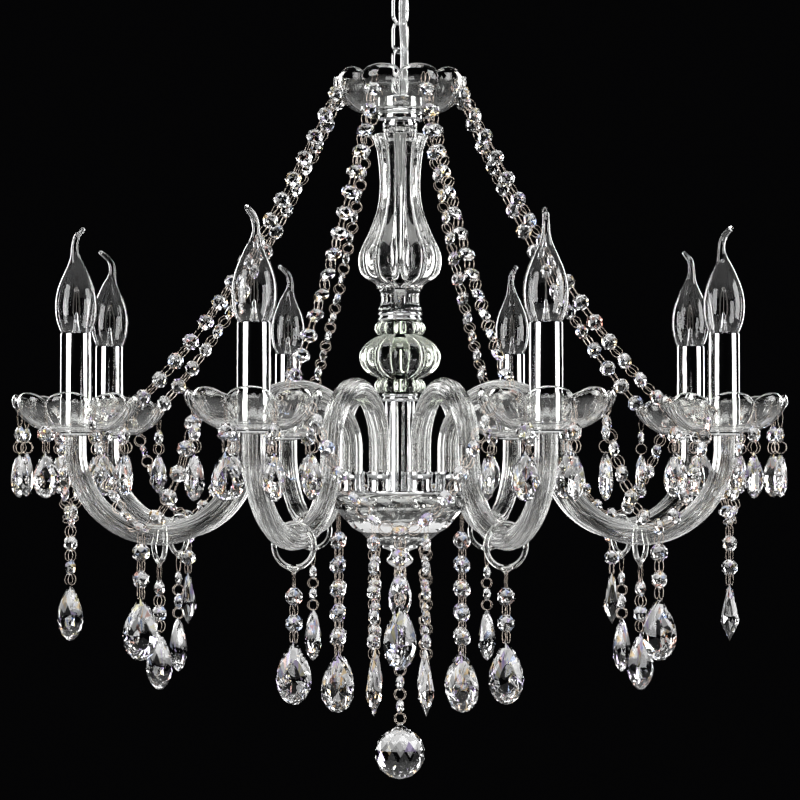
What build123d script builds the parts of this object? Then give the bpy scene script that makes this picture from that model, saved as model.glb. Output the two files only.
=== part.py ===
from build123d import *
import math
import os

os.makedirs("parts", exist_ok=True)

# Crystal chandelier with eight arms. Millimetres, +Z up. The origin is the middle of the
# ceiling face of its mounting bracket, so the whole fixture hangs below z = 0. The front
# is -Y and falls between two arms.

# ---------------------------------------------------------------- fits
SEAT = 0.15                   # gap between a link's end and the crystal it joins
PLAY = 0.3                    # gap between two pieces that turn on each other
BORE_PLAY = 0.25              # a glass or metal collar round the central rod

# ---------------------------------------------------------------- ceiling fixing and chain
CANOPY_RADIUS = 58
CANOPY_NECK_RADIUS = 24
CANOPY_HEIGHT = 38
CANOPY_WALL = 1.5
CANOPY_SIDES = 20
BRACKET_LENGTH = 92
BRACKET_WIDTH = 22
BRACKET_THICKNESS = 2.5
SCREW_SPACING = 68
SCREW_HOLE_RADIUS = 2.6
ROD_RADIUS = 5                # M10 thread of the nipple and of the central rod
NUT_RADIUS = 9
NUT_HEIGHT = 5
HOOK_COLLAR_RADIUS = 9.4
HOOK_COLLAR_HEIGHT = 5
HOOK_RADIUS = 8.5             # of the loop's centre line
CHAIN_WIRE = 3.0
CHAIN_TURN = 45               # degrees: plane of the first link about the vertical
LINK_LENGTH = 31
LINK_WIDTH = 20
LINK_COUNT = 3

# ---------------------------------------------------------------- cable
CABLE_RADIUS = 3.5
CABLE_X = 3.5
CABLE_Y = -13.5
CABLE_LENGTH_IN_GRIP = 6
GRIP_RADIUS = 5.2
GRIP_LENGTH = 10

# ---------------------------------------------------------------- column, top to bottom
LOOP_COLLAR_RADIUS = 19.5
LOOP_COLLAR_HEIGHT = 14
BOWL_RADIUS = 60
BOWL_FOOT_RADIUS = 24
BOWL_SHOULDER_RADIUS = 46
BOWL_HEIGHT = 38
BOWL_WALL = 3.5
BOWL_PETALS = 10
BOWL_VALLEY_RADIUS = 56.5
BOWL_SCALLOP = 6
CUP_RADIUS = 20
CUP_HEIGHT = 10
BALUSTER_HEIGHT = 141
BALUSTER_FLUTES = 12
BALUSTER_RADIUS = 36
BALUSTER_WAIST_RADIUS = 17.5
SPOOL_RADIUS = 19
SPOOL_HEIGHT = 19
RING_RADIUS = 19.5
RING_HEIGHT = 10
COLLAR_RADIUS = 22
COLLAR_HEIGHT = 11
BALL_RADIUS = 35.5
BALL_HEIGHT = 39
BALL_FLUTES = 12
LOWER_RING_RADIUS = 16
LOWER_RING_HEIGHT = 8
SLEEVE_RADIUS = 13
SLEEVE_LENGTH = 77
SLEEVE_WALL = 1.5
HUB_PLATE_RADIUS = 59
HUB_PLATE_HEIGHT = 3
HUB_BOWL_RADIUS = 60
HUB_BOWL_FOOT_RADIUS = 22
HUB_BOWL_HEIGHT = 44
HUB_BOWL_WALL = 4
HUB_BOWL_FACETS = 16
FINIAL_RADIUS = 12
FINIAL_HEIGHT = 22
TURNED_SIDES = 16             # facets of a turned metal piece

# ---------------------------------------------------------------- arms and candles
ARM_COUNT = 8
FIRST_ARM_ANGLE = 22.5
ARM_SPACING = 360 / ARM_COUNT
ARM_TUBE_RADIUS = 9
ARM_RIBS = 8
ARM_STEPS = 6                 # straight facets in each half turn of an arm
SOCKET_CIRCLE = 45
SOCKET_RADIUS = 11.4
SOCKET_HEIGHT = 16
ARM_RISE = 36                 # from the foot of an arm to the start of its upper bend
ARM_UPPER_BEND = 50
ARM_LOWER_BEND = 71.5
ARM_END_RISE = 11
STEM_RADIUS = 4
STEM_LENGTH = 24
BOBECHE_NUT_RADIUS = 14
BOBECHE_NUT_HEIGHT = 2
NUT_SIDES = 6
BOBECHE_RADIUS = 53
BOBECHE_VALLEY_RADIUS = 47
BOBECHE_FOOT_RADIUS = 28
BOBECHE_SHOULDER_RADIUS = 43
BOBECHE_HEIGHT = 32
BOBECHE_SCALLOP = 11          # how far a valley of the rim lies under its petals
BOBECHE_WALL = 3
BOBECHE_PETALS = 8
SHOULDER_SHARE = 0.4          # of a bowl's height, where its wall turns up
HANGING_HOLE_DEPTH = 2        # from a valley of the rim down to the hole for a strand
CANDLE_RADIUS = 13
CANDLE_WALL = 0.8
CANDLE_HEIGHT = 78
CANDLE_SIDES = 12
HOLDER_RADIUS = 11.5
HOLDER_DROP = 2               # below the top of the candle sleeve
LAMP_CAP_RADIUS = 6.6
LAMP_CAP_LENGTH = 22
LAMP_RADIUS = 17.5
LAMP_HEIGHT = 88              # of the glass above the candle sleeve
LAMP_TIP_BEND = 12

# ---------------------------------------------------------------- crystals
BEAD_RADIUS = 7
BEAD_HALF_THICKNESS = 3.4
BEAD_SIDES = 6
LINK_RADIUS = 0.9
BEAD_GAP = 6.8                # between two stones, where their link is
PEAR_LENGTH = 50
PEAR_WIDTH = 31
PEAR_HALF_THICKNESS = 7
SPEAR_LENGTH = 50
SPEAR_WIDTH = 17
SPEAR_HALF_THICKNESS = 6.5
SMALL_PEAR_LENGTH = 38
SMALL_PEAR_WIDTH = 24
SMALL_PEAR_HALF_THICKNESS = 5.5
CRYSTAL_BALL_RADIUS = 22
GARLAND_DROP = 10             # from the bowl's rim tips down to the garlands' eyelets
GARLAND_SAG = 27
SWAG_SAG = 94
SWAG_LEAN = 25                # degrees that a swag's end sits outside the line of centres
RIM_REACH = 0.75              # from the glass at a valley out to a strand's end
HUB_STRAND_BEADS = 5
BALL_STRAND_BEADS = 6
PENDANT_BEADS = 2
HUB_HOOK_LENGTH = 15
PENDANT_HOOK_LENGTH = 14
HOOK_RING_RADIUS = 17.25      # centre line of the clear ring round an arm
HOOK_RING_BAR = 2.25
HOOK_RING_STEPS = 8

# ---------------------------------------------------------------- levels that follow
canopy_z = -CANOPY_HEIGHT
hook_z = canopy_z - HOOK_COLLAR_HEIGHT - HOOK_RADIUS
hook_wire_z = hook_z - HOOK_RADIUS
link_pitch = LINK_LENGTH - 2 * CHAIN_WIRE - PLAY
link_top_z = [hook_wire_z + CHAIN_WIRE + PLAY - n * link_pitch for n in range(LINK_COUNT)]
loop_radius = (LINK_WIDTH - CHAIN_WIRE) / 2
loop_z = link_top_z[-1] - link_pitch - loop_radius
collar_top_z = loop_z - loop_radius
column_z = collar_top_z - LOOP_COLLAR_HEIGHT        # foot of the loop's collar, inside the bowl
bowl_z = column_z - BOWL_WALL
cup_z = bowl_z - CUP_HEIGHT
baluster_z = cup_z - BALUSTER_HEIGHT
spool_z = baluster_z - SPOOL_HEIGHT
ring_z = spool_z - RING_HEIGHT
collar_z = ring_z - COLLAR_HEIGHT
ball_z = collar_z - BALL_HEIGHT
lower_collar_z = ball_z - COLLAR_HEIGHT
lower_ring_z = lower_collar_z - LOWER_RING_HEIGHT
plate_top_z = lower_ring_z - SLEEVE_LENGTH
plate_z = plate_top_z - HUB_PLATE_HEIGHT
hub_bowl_z = plate_z - HUB_BOWL_HEIGHT
finial_z = hub_bowl_z - FINIAL_HEIGHT

arm_bend_z = plate_top_z + ARM_RISE
upper_bend_r = SOCKET_CIRCLE + ARM_UPPER_BEND
lower_bend_r = upper_bend_r + ARM_UPPER_BEND + ARM_LOWER_BEND
candle_circle = lower_bend_r + ARM_LOWER_BEND
arm_low_z = arm_bend_z - ARM_LOWER_BEND
arm_end_z = arm_bend_z + ARM_END_RISE
bobeche_z = arm_end_z + BOBECHE_NUT_HEIGHT
bobeche_floor_z = bobeche_z + BOBECHE_WALL
candle_top_z = bobeche_floor_z + CANDLE_HEIGHT
arm_angles = [FIRST_ARM_ANGLE + ARM_SPACING * n for n in range(ARM_COUNT)]


# ---------------------------------------------------------------- geometry helpers
def polar(radius, angle, z):
    """Point at a radius and an angle in degrees about the column."""
    turn = math.radians(angle)
    return Vector(radius * math.cos(turn), radius * math.sin(turn), z)


def faceted(rings, hollow=False, triangles=False):
    """Solid of flat facets through rings of as many corners each, from one end to the other.

    A hollow one has its last ring joined back to its first, as round a bore. Otherwise the
    first and last rings are closed by flat ends.
    """
    pairs = list(zip(rings, rings[1:] + rings[:1])) if hollow else list(zip(rings, rings[1:]))
    facets = []
    for near, far in pairs:
        for n in range(len(near)):
            a, b = near[n], near[(n + 1) % len(near)]
            c, d = far[(n + 1) % len(far)], far[n]
            for corners in ((a, b, c), (a, c, d)) if triangles else ((a, b, c, d),):
                facets.append(Face(Wire.make_polygon(corners, close=True)))
    if not hollow:
        facets += [Face(Wire.make_polygon(ring, close=True)) for ring in (rings[0], rings[-1])]
    solid = Solid(Shell(facets))
    return solid if solid.volume > 0 else Solid(solid.wrapped.Reversed())


def round_ring(radius, z, sides, flat=0.0):
    """Corners of a regular polygon about the column's axis."""
    return [polar(radius, flat + 360 * n / sides, z) for n in range(sides)]


def turned(profile, sides, bore=0.0, flat=0.0):
    """Faceted solid of revolution through (radius, z) pairs, with a bore if one is given."""
    rings = [round_ring(radius, z, sides, flat) for radius, z in profile]
    if bore:
        wall = bore / math.cos(math.pi / sides)
        rings += [round_ring(wall, profile[-1][1], sides, flat), round_ring(wall, profile[0][1], sides, flat)]
    return faceted(rings, hollow=bool(bore))


def bar_section(point, direction, radius, sides):
    """Corners of a bar's section at a station in the XZ plane."""
    across = Vector(0, 1, 0).cross(direction).normalized()
    corners = []
    for n in range(sides):
        turn = 2 * math.pi * n / sides
        corners.append(point + Vector(0, radius * math.cos(turn), 0) + across * (radius * math.sin(turn)))
    return corners


def bent_bar(stations, radius, sides):
    """Bar of one section through (point, direction) stations in the XZ plane."""
    return faceted([bar_section(point, direction, radius, sides) for point, direction in stations])


def arc_stations(centre, radius, start, end, steps):
    """Stations along an arc in the XZ plane, its angles in degrees from +X towards +Z."""
    way = 1 if end > start else -1
    stations = []
    for n in range(steps + 1):
        turn = math.radians(start + (end - start) * n / steps)
        point = centre + Vector(radius * math.cos(turn), 0, radius * math.sin(turn))
        stations.append((point, Vector(-way * math.sin(turn), 0, way * math.cos(turn))))
    return stations


def wire_loop(radius, straight, bar_radius, steps, sides=6):
    """Closed loop of bar in the XZ plane: two half turns, with straight sides between them."""
    half_turn = 2 * steps
    head = arc_stations(Vector(0, 0, straight / 2), radius, 0, 180, half_turn)
    foot = arc_stations(Vector(0, 0, -straight / 2), radius, 180, 360, half_turn)
    stations = head + foot if straight else head[:-1] + foot[:-1]
    return faceted([bar_section(point, direction, bar_radius, sides) for point, direction in stations], hollow=True)


def petal_ring(petals, tip_radius, valley_radius, tip_z, valley_z):
    """Corners of a scalloped ring, valley first, so that a valley lies on +X."""
    corners = []
    for n in range(2 * petals):
        radius, z = (tip_radius, tip_z) if n % 2 else (valley_radius, valley_z)
        corners.append(polar(radius, 180 * n / petals, z))
    return corners


def scalloped_bowl(petals, radius, valley, foot, shoulder, height, scallop, wall, bore):
    """Glass bowl on z = 0: flat foot with a bore, a wall that opens out, and a scalloped rim."""
    lip = wall * 0.7
    rise = height * SHOULDER_SHARE
    return faceted([
        petal_ring(petals, bore, bore, 0, 0),
        petal_ring(petals, foot, foot, 0, 0),
        petal_ring(petals, shoulder, shoulder, rise, rise),
        petal_ring(petals, radius, valley, height, height - scallop),
        petal_ring(petals, radius - lip, valley - lip, height, height - scallop),
        petal_ring(petals, shoulder - wall, shoulder - wall, rise + lip, rise + lip),
        petal_ring(petals, foot - lip, foot - lip, wall, wall),
        petal_ring(petals, bore, bore, wall, wall),
    ], hollow=True, triangles=True)


def valley_wall(valley, shoulder, height, scallop, level):
    """Outside radius of a scalloped bowl below a valley of its rim, at a level above its foot."""
    rise = height * SHOULDER_SHARE
    return shoulder + (valley - shoulder) * (level - rise) / (height - scallop - rise)


def crystal(outline, half_thickness, heart=0.0):
    """Flat-cut stone: an outline in the XZ plane that rises to a point on each face."""
    with BuildPart() as stone:
        with BuildSketch(Plane.XZ) as girdle:
            with BuildLine():
                Polyline(*outline, close=True)
            make_face()
        loft(sections=[girdle.sketch.face(), Vertex(0, -half_thickness, heart)], ruled=True)
        mirror(about=Plane.XZ)
    return stone.part


def pear_outline(length, width):
    """Pear drop that hangs from its tip at the origin."""
    half = width / 2
    return [(0, 0), (half * 0.55, -length * 0.3), (half, -length * 0.66), (half * 0.6, -length * 0.93),
            (0, -length), (-half * 0.6, -length * 0.93), (-half, -length * 0.66),
            (-half * 0.55, -length * 0.3)]


def spear_outline(length, width):
    """Spear drop: a short shoulder under its tip, widest at two thirds, and a point."""
    half = width / 2
    return [(0, 0), (half * 0.4, -length * 0.12), (half, -length * 0.66), (0, -length),
            (-half, -length * 0.66), (-half * 0.4, -length * 0.12)]


def link(length):
    """Slim link along -Z from the origin, from hole to hole."""
    with BuildPart() as tie:
        with BuildSketch(Plane.XY) as end:
            RegularPolygon(LINK_RADIUS, 3)
        loft(sections=[end.sketch.face(), Vertex(0, 0, -length)], ruled=True)
    return tie.part


def frame_at(point, down, twist=0.0):
    """Placing of a hanging piece whose own -Z is to run along a direction, turned about it."""
    up = Vector(*down) * -1
    side = Vector(0, 0, 1).cross(up)
    side = side.normalized() if side.length > 1e-6 else Vector(1, 0, 0)
    turn = math.radians(twist)
    face = side * math.cos(turn) + up.normalized().cross(side) * math.sin(turn)
    return Plane(point, x_dir=face, z_dir=up).location


def hanging_curve(start, end, sag):
    """Points of a strand between two hooks, its middle lowered by the sag."""
    steps = 240
    points = []
    for n in range(steps + 1):
        t = n / steps
        points.append(start + (end - start) * t - Vector(0, 0, 4 * sag * t * (1 - t)))
    return points


def point_along(points, distance):
    """Point and direction at a distance along a line of points."""
    for a, b in zip(points, points[1:]):
        run = (b - a).length
        if distance <= run:
            return a + (b - a) * (distance / run), (b - a).normalized()
        distance -= run
    return points[-1], (points[-1] - points[-2]).normalized()


def strand(points, odd=False):
    """Places (point, direction) of a strand's stones, and (start, run) of the links between them."""
    length = sum((b - a).length for a, b in zip(points, points[1:]))
    count = round((length - BEAD_GAP) / (2 * BEAD_RADIUS + BEAD_GAP))
    if odd and count % 2 == 0:
        count -= 1
    gap = (length - count * 2 * BEAD_RADIUS) / (count + 1)
    pitch = gap + 2 * BEAD_RADIUS
    stones = [point_along(points, gap + BEAD_RADIUS + n * pitch) for n in range(count)]
    ends = [points[0]] + [p + d * (BEAD_RADIUS + SEAT) for p, d in stones]
    starts = [p - d * (BEAD_RADIUS + SEAT) for p, d in stones] + [points[-1]]
    ties = [(a, (b - a)) for a, b in zip(ends, starts)]
    return stones, ties


def group(places, make):
    """One copy of a made piece at each of its places."""
    with BuildPart() as copies:
        with Locations(*places):
            add(make)
    return copies.part


def tied(runs):
    """One link for each (start, run) of a strand, as long as its own run."""
    links = [link(run.length).moved(frame_at(start, run.normalized())) for start, run in runs]
    with BuildPart() as ties:
        add(links)
    return ties.part


def hanging_strand(hook, hook_length, beads, drop, twist=0.0):
    """Straight strand under a hook: a hook link, stones with links between, and its drop."""
    pitch = 2 * BEAD_RADIUS + BEAD_GAP
    first = hook.Z - hook_length - BEAD_RADIUS
    levels = [first - n * pitch for n in range(beads)]
    foot = levels[-1] - BEAD_RADIUS
    with BuildPart() as pieces:
        with Locations(Location(hook)):
            add(link(hook_length - SEAT))
        with Locations(*[Location((hook.X, hook.Y, z), (0, 0, twist)) for z in levels]):
            add(bead)
        with Locations(*[Location((hook.X, hook.Y, z - BEAD_RADIUS - SEAT)) for z in levels]):
            add(link(BEAD_GAP - 2 * SEAT))
        with Locations(Location((hook.X, hook.Y, foot - BEAD_GAP), (0, 0, twist))):
            add(drop)
    return pieces.part


def finish(part, name):
    """Label a finished piece and write it."""
    part.label = name
    export_step(part, f"parts/{name}.step")


# ---------------------------------------------------------------- stones
with BuildPart() as bead_part:
    with BuildSketch(Plane.XZ) as bead_girdle:
        RegularPolygon(BEAD_RADIUS, BEAD_SIDES, rotation=90)
    loft(sections=[bead_girdle.sketch.face(), Vertex(0, -BEAD_HALF_THICKNESS, 0)], ruled=True)
    mirror(about=Plane.XZ)
bead = bead_part.part
pear = crystal(pear_outline(PEAR_LENGTH, PEAR_WIDTH), PEAR_HALF_THICKNESS, -PEAR_LENGTH * 0.62)
spear = crystal(spear_outline(SPEAR_LENGTH, SPEAR_WIDTH), SPEAR_HALF_THICKNESS, -SPEAR_LENGTH * 0.62)
small_pear = crystal(
    pear_outline(SMALL_PEAR_LENGTH, SMALL_PEAR_WIDTH), SMALL_PEAR_HALF_THICKNESS, -SMALL_PEAR_LENGTH * 0.62
)

# ---------------------------------------------------------------- ceiling fixing
with BuildPart() as mounting_bracket:
    with BuildSketch(Plane.XY.offset(-BRACKET_THICKNESS)) as bar:
        Rectangle(BRACKET_LENGTH, BRACKET_WIDTH)
        chamfer(bar.vertices(), BRACKET_WIDTH * 0.3)
        RegularPolygon(ROD_RADIUS + BORE_PLAY, 12, mode=Mode.SUBTRACT)
    extrude(amount=BRACKET_THICKNESS)
    with Locations((-SCREW_SPACING / 2, 0, 0), (SCREW_SPACING / 2, 0, 0)):
        Hole(SCREW_HOLE_RADIUS)
finish(mounting_bracket.part, "mounting_bracket")

with BuildPart() as bracket_nuts:
    for top_z in (-BRACKET_THICKNESS, canopy_z + CANOPY_WALL + NUT_HEIGHT):
        with BuildSketch(Plane.XY.offset(top_z)):
            RegularPolygon(NUT_RADIUS, 6)
            RegularPolygon(ROD_RADIUS + BORE_PLAY, 12, mode=Mode.SUBTRACT)
        extrude(amount=-NUT_HEIGHT)
finish(bracket_nuts.part, "bracket_nuts")

with BuildPart() as canopy_nipple:
    with BuildSketch(Plane.XY.offset(-PLAY)):
        RegularPolygon(ROD_RADIUS, 12)
    extrude(amount=canopy_z - HOOK_COLLAR_HEIGHT + CHAIN_WIRE + 2 * PLAY)
finish(canopy_nipple.part, "canopy_nipple")

canopy_profile = [(CANOPY_RADIUS, 0), (CANOPY_RADIUS * 0.93, -CANOPY_HEIGHT * 0.35),
                  (CANOPY_RADIUS * 0.68, -CANOPY_HEIGHT * 0.8), (CANOPY_NECK_RADIUS, canopy_z)]
canopy_inside = [(r - CANOPY_WALL * 1.3, z + CANOPY_WALL) for r, z in canopy_profile[1:]]
canopy_inside = [(CANOPY_RADIUS - CANOPY_WALL * 1.3, 0)] + canopy_inside
shell = [round_ring(r, z, CANOPY_SIDES) for r, z in canopy_profile]
shell += [round_ring(ROD_RADIUS + BORE_PLAY, z, CANOPY_SIDES) for z in (canopy_z, canopy_z + CANOPY_WALL)]
shell += [round_ring(r, z, CANOPY_SIDES) for r, z in reversed(canopy_inside)]
with BuildPart() as canopy:
    add(faceted(shell, hollow=True))
    with BuildSketch(Plane.XY.offset(canopy_z - CANOPY_WALL)):
        with Locations((CABLE_X, CABLE_Y)):
            RegularPolygon(CABLE_RADIUS + 2 * PLAY, 12)
    extrude(amount=3 * CANOPY_WALL, mode=Mode.SUBTRACT)
finish(canopy.part, "canopy")

with BuildPart() as cord_grip:
    with BuildSketch(Plane.XY.offset(canopy_z + CANOPY_WALL)):
        with Locations((CABLE_X, CABLE_Y)):
            RegularPolygon(GRIP_RADIUS, 12)
            RegularPolygon(CABLE_RADIUS + 2 * PLAY, 12, mode=Mode.SUBTRACT)
    extrude(amount=GRIP_LENGTH)
finish(cord_grip.part, "cord_grip")

collar_foot_z = canopy_z - HOOK_COLLAR_HEIGHT
hook_collar = faceted([
    round_ring(ROD_RADIUS + BORE_PLAY, collar_foot_z + CHAIN_WIRE, 12),
    round_ring(ROD_RADIUS + BORE_PLAY, canopy_z, 12),
    round_ring(HOOK_COLLAR_RADIUS, canopy_z, 12),
    round_ring(HOOK_COLLAR_RADIUS, collar_foot_z, 12),
])
with BuildPart() as ceiling_hook:
    add(hook_collar)
    with Locations(Location((0, 0, hook_z), (0, 0, -CHAIN_TURN))):
        add(wire_loop(HOOK_RADIUS, 0, CHAIN_WIRE / 2, 4))
finish(ceiling_hook.part, "ceiling_hook")

# ---------------------------------------------------------------- chain and column loop
link_half_width = (LINK_WIDTH - CHAIN_WIRE) / 2
link_straight = LINK_LENGTH - CHAIN_WIRE - 2 * link_half_width
oval_link = wire_loop(link_half_width, link_straight, CHAIN_WIRE / 2, 3)
link_places = []
for n in range(LINK_COUNT):
    centre_z = link_top_z[n] - (LINK_LENGTH - CHAIN_WIRE) / 2
    link_places.append(Location((0, 0, centre_z), (0, 0, CHAIN_TURN + 90 * n)))
finish(group(link_places[:1], oval_link), "top_link")
finish(group(link_places[1:], oval_link), "chain_links")

collar_floor_z = column_z + LOOP_COLLAR_HEIGHT / 2
loop_collar = faceted([
    round_ring(ROD_RADIUS + BORE_PLAY, collar_floor_z, TURNED_SIDES),
    round_ring(ROD_RADIUS + BORE_PLAY, column_z, TURNED_SIDES),
    round_ring(LOOP_COLLAR_RADIUS, column_z, TURNED_SIDES),
    round_ring(LOOP_COLLAR_RADIUS, collar_top_z, TURNED_SIDES),
])
with BuildPart() as column_loop:
    add(loop_collar)
    with BuildSketch(Plane.XY.offset(collar_top_z)):
        with Locations((CABLE_X, CABLE_Y)):
            RegularPolygon(CABLE_RADIUS + 2 * PLAY, 12)
    extrude(amount=-LOOP_COLLAR_HEIGHT / 2, mode=Mode.SUBTRACT)
    with Locations(Location((0, 0, loop_z), (0, 0, CHAIN_TURN + 90 * LINK_COUNT))):
        add(wire_loop(loop_radius, 0, CHAIN_WIRE / 2, 4))
finish(column_loop.part, "column_loop")

# ---------------------------------------------------------------- cable
cable_top = canopy_z + CANOPY_WALL + CABLE_LENGTH_IN_GRIP
cable_end = collar_top_z - LOOP_COLLAR_HEIGHT / 2 + PLAY
cable_points = [
    (CABLE_X, CABLE_Y, cable_top),
    (CABLE_X, CABLE_Y, cable_top - 24),
    (CABLE_X - 1.6, CABLE_Y - 0.6, cable_top - 49.5),
    (CABLE_X + 0.6, CABLE_Y - 0.9, cable_end + 46.5),
    (CABLE_X, CABLE_Y, cable_end + 21.5),
    (CABLE_X, CABLE_Y, cable_end),
]
cable_bends = []
for before, corner, after in zip(cable_points, cable_points[1:], cable_points[2:]):
    run_in, run_out = Vector(*corner) - Vector(*before), Vector(*after) - Vector(*corner)
    half_turn = math.radians(run_in.get_angle(run_out)) / 2
    cable_bends.append(0.45 * min(run_in.length, run_out.length) / math.tan(half_turn))
print("cable bends, mm:", [round(bend) for bend in cable_bends])
with BuildPart() as power_cable:
    with BuildLine() as cable_route:
        FilletPolyline(*cable_points, radius=cable_bends)
    with BuildSketch(Plane(cable_points[0], z_dir=(0, 0, -1))):
        RegularPolygon(CABLE_RADIUS, 8)
    sweep(path=cable_route.line)
cable_length = sum(edge.length for edge in cable_route.edges())
print("cable length, mm:", round(cable_length, 1))
cable_section = 4 * math.sin(math.pi / 4) * CABLE_RADIUS**2
print("cable volume over section times length:", round(power_cable.part.volume / (cable_section * cable_length), 4))
finish(power_cable.part, "power_cable")

# ---------------------------------------------------------------- column
rod_bore = ROD_RADIUS + BORE_PLAY

with BuildPart() as central_rod:
    with BuildSketch(Plane.XY.offset(column_z + LOOP_COLLAR_HEIGHT / 2 - 2 * PLAY)):
        RegularPolygon(ROD_RADIUS, 12)
    extrude(amount=finial_z + FINIAL_HEIGHT * 0.6 - column_z - LOOP_COLLAR_HEIGHT / 2 + 2 * PLAY)
finish(central_rod.part, "central_rod")

top_bowl = scalloped_bowl(BOWL_PETALS, BOWL_RADIUS, BOWL_VALLEY_RADIUS, BOWL_FOOT_RADIUS,
                          BOWL_SHOULDER_RADIUS, BOWL_HEIGHT, BOWL_SCALLOP, BOWL_WALL, rod_bore)
finish(group([Location((0, 0, bowl_z))], top_bowl), "top_bowl")

finish(turned([(BOWL_FOOT_RADIUS * 0.7, bowl_z), (CUP_RADIUS * 0.8, bowl_z - 4), (CUP_RADIUS, cup_z)],
              TURNED_SIDES, rod_bore), "bowl_cup")

baluster_profile = [
    (0.42, 0), (0.6, 0.05), (0.55, 0.12), (0, 0.37), (0.62, 0.6), (0.94, 0.76), (1, 0.84), (0.92, 0.91),
    (0.56, 1),
]
baluster_rings = []
for share, depth in baluster_profile:
    radius = max(BALUSTER_WAIST_RADIUS, share * BALUSTER_RADIUS)
    baluster_rings.append((radius, cup_z - depth * BALUSTER_HEIGHT))
finish(turned(baluster_rings, BALUSTER_FLUTES, rod_bore), "baluster")

finish(turned([(SPOOL_RADIUS, baluster_z), (SPOOL_RADIUS, baluster_z - SPOOL_HEIGHT * 0.4),
               (SPOOL_RADIUS * 0.72, baluster_z - SPOOL_HEIGHT * 0.6),
               (SPOOL_RADIUS * 0.72, baluster_z - SPOOL_HEIGHT * 0.85), (SPOOL_RADIUS, spool_z)],
              BALUSTER_FLUTES, rod_bore), "glass_spool")

with BuildPart() as column_rings:
    add(turned([(RING_RADIUS * 0.9, spool_z), (RING_RADIUS, spool_z - RING_HEIGHT * 0.3),
                (RING_RADIUS, spool_z - RING_HEIGHT * 0.7), (RING_RADIUS * 0.9, ring_z)],
               TURNED_SIDES, rod_bore))
    add(turned([(LOWER_RING_RADIUS, lower_collar_z), (LOWER_RING_RADIUS, lower_ring_z)],
               TURNED_SIDES, rod_bore))
finish(column_rings.part, "column_rings")

with BuildPart() as glass_collars:
    for top_z in (ring_z, ball_z):
        add(turned([(COLLAR_RADIUS * 0.86, top_z), (COLLAR_RADIUS, top_z - COLLAR_HEIGHT / 2),
                    (COLLAR_RADIUS * 0.86, top_z - COLLAR_HEIGHT)], BALL_FLUTES, rod_bore))
finish(glass_collars.part, "glass_collars")

ball_rings = []
for turn in (-64, -36, -12, 12, 36, 64):
    ball_rings.append((BALL_RADIUS * math.cos(math.radians(turn)),
                       collar_z - BALL_HEIGHT / 2 * (1 + math.sin(math.radians(turn)) / math.sin(math.radians(64)))))
finish(turned(ball_rings, BALL_FLUTES, rod_bore), "glass_ball")

with BuildPart() as lower_sleeve:
    with BuildSketch(Plane.XY.offset(plate_top_z)):
        RegularPolygon(SLEEVE_RADIUS, TURNED_SIDES)
        RegularPolygon(SLEEVE_RADIUS - SLEEVE_WALL, TURNED_SIDES, mode=Mode.SUBTRACT)
    extrude(amount=SLEEVE_LENGTH)
finish(lower_sleeve.part, "lower_sleeve")

# ---------------------------------------------------------------- hub
finish(turned([(HUB_PLATE_RADIUS * 0.96, plate_top_z), (HUB_PLATE_RADIUS, plate_top_z - HUB_PLATE_HEIGHT * 0.4),
               (HUB_PLATE_RADIUS, plate_z)], CANOPY_SIDES, rod_bore), "hub_plate")

with BuildPart() as arm_sockets:
    with BuildSketch(Plane.XY.offset(plate_top_z)):
        with PolarLocations(SOCKET_CIRCLE, ARM_COUNT, start_angle=FIRST_ARM_ANGLE):
            RegularPolygon(SOCKET_RADIUS, ARM_RIBS)
            RegularPolygon(ARM_TUBE_RADIUS + BORE_PLAY, ARM_RIBS, mode=Mode.SUBTRACT)
    extrude(amount=SOCKET_HEIGHT)
finish(arm_sockets.part, "arm_sockets")

hub_bowl_rings = [(HUB_BOWL_RADIUS, plate_z), (HUB_BOWL_RADIUS * 0.985, plate_z - HUB_BOWL_HEIGHT * 0.3),
                  (HUB_BOWL_RADIUS * 0.9, plate_z - HUB_BOWL_HEIGHT * 0.62),
                  (HUB_BOWL_RADIUS * 0.66, plate_z - HUB_BOWL_HEIGHT * 0.88), (HUB_BOWL_FOOT_RADIUS, hub_bowl_z)]
hollow_rings = []
for radius, z in reversed(hub_bowl_rings):
    lift = HUB_BOWL_WALL * (plate_z - z) / HUB_BOWL_HEIGHT
    hollow_rings.append((radius - HUB_BOWL_WALL, z + lift))
bowl_wall = hub_bowl_rings + [(rod_bore, hub_bowl_z), (rod_bore, hub_bowl_z + HUB_BOWL_WALL)] + hollow_rings
hub_bowl = faceted([round_ring(r, z, HUB_BOWL_FACETS, FIRST_ARM_ANGLE) for r, z in bowl_wall], hollow=True)
finish(hub_bowl, "hub_bowl")

finial_profile = [
    (rod_bore, hub_bowl_z - FINIAL_HEIGHT * 0.4 - PLAY), (rod_bore, hub_bowl_z),
    (FINIAL_RADIUS * 1.3, hub_bowl_z), (FINIAL_RADIUS * 1.3, hub_bowl_z - 3),
    (FINIAL_RADIUS * 0.75, hub_bowl_z - 7), (FINIAL_RADIUS, hub_bowl_z - FINIAL_HEIGHT * 0.6),
    (FINIAL_RADIUS * 0.3, finial_z),
]
finish(turned(finial_profile, TURNED_SIDES), "finial")

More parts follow.
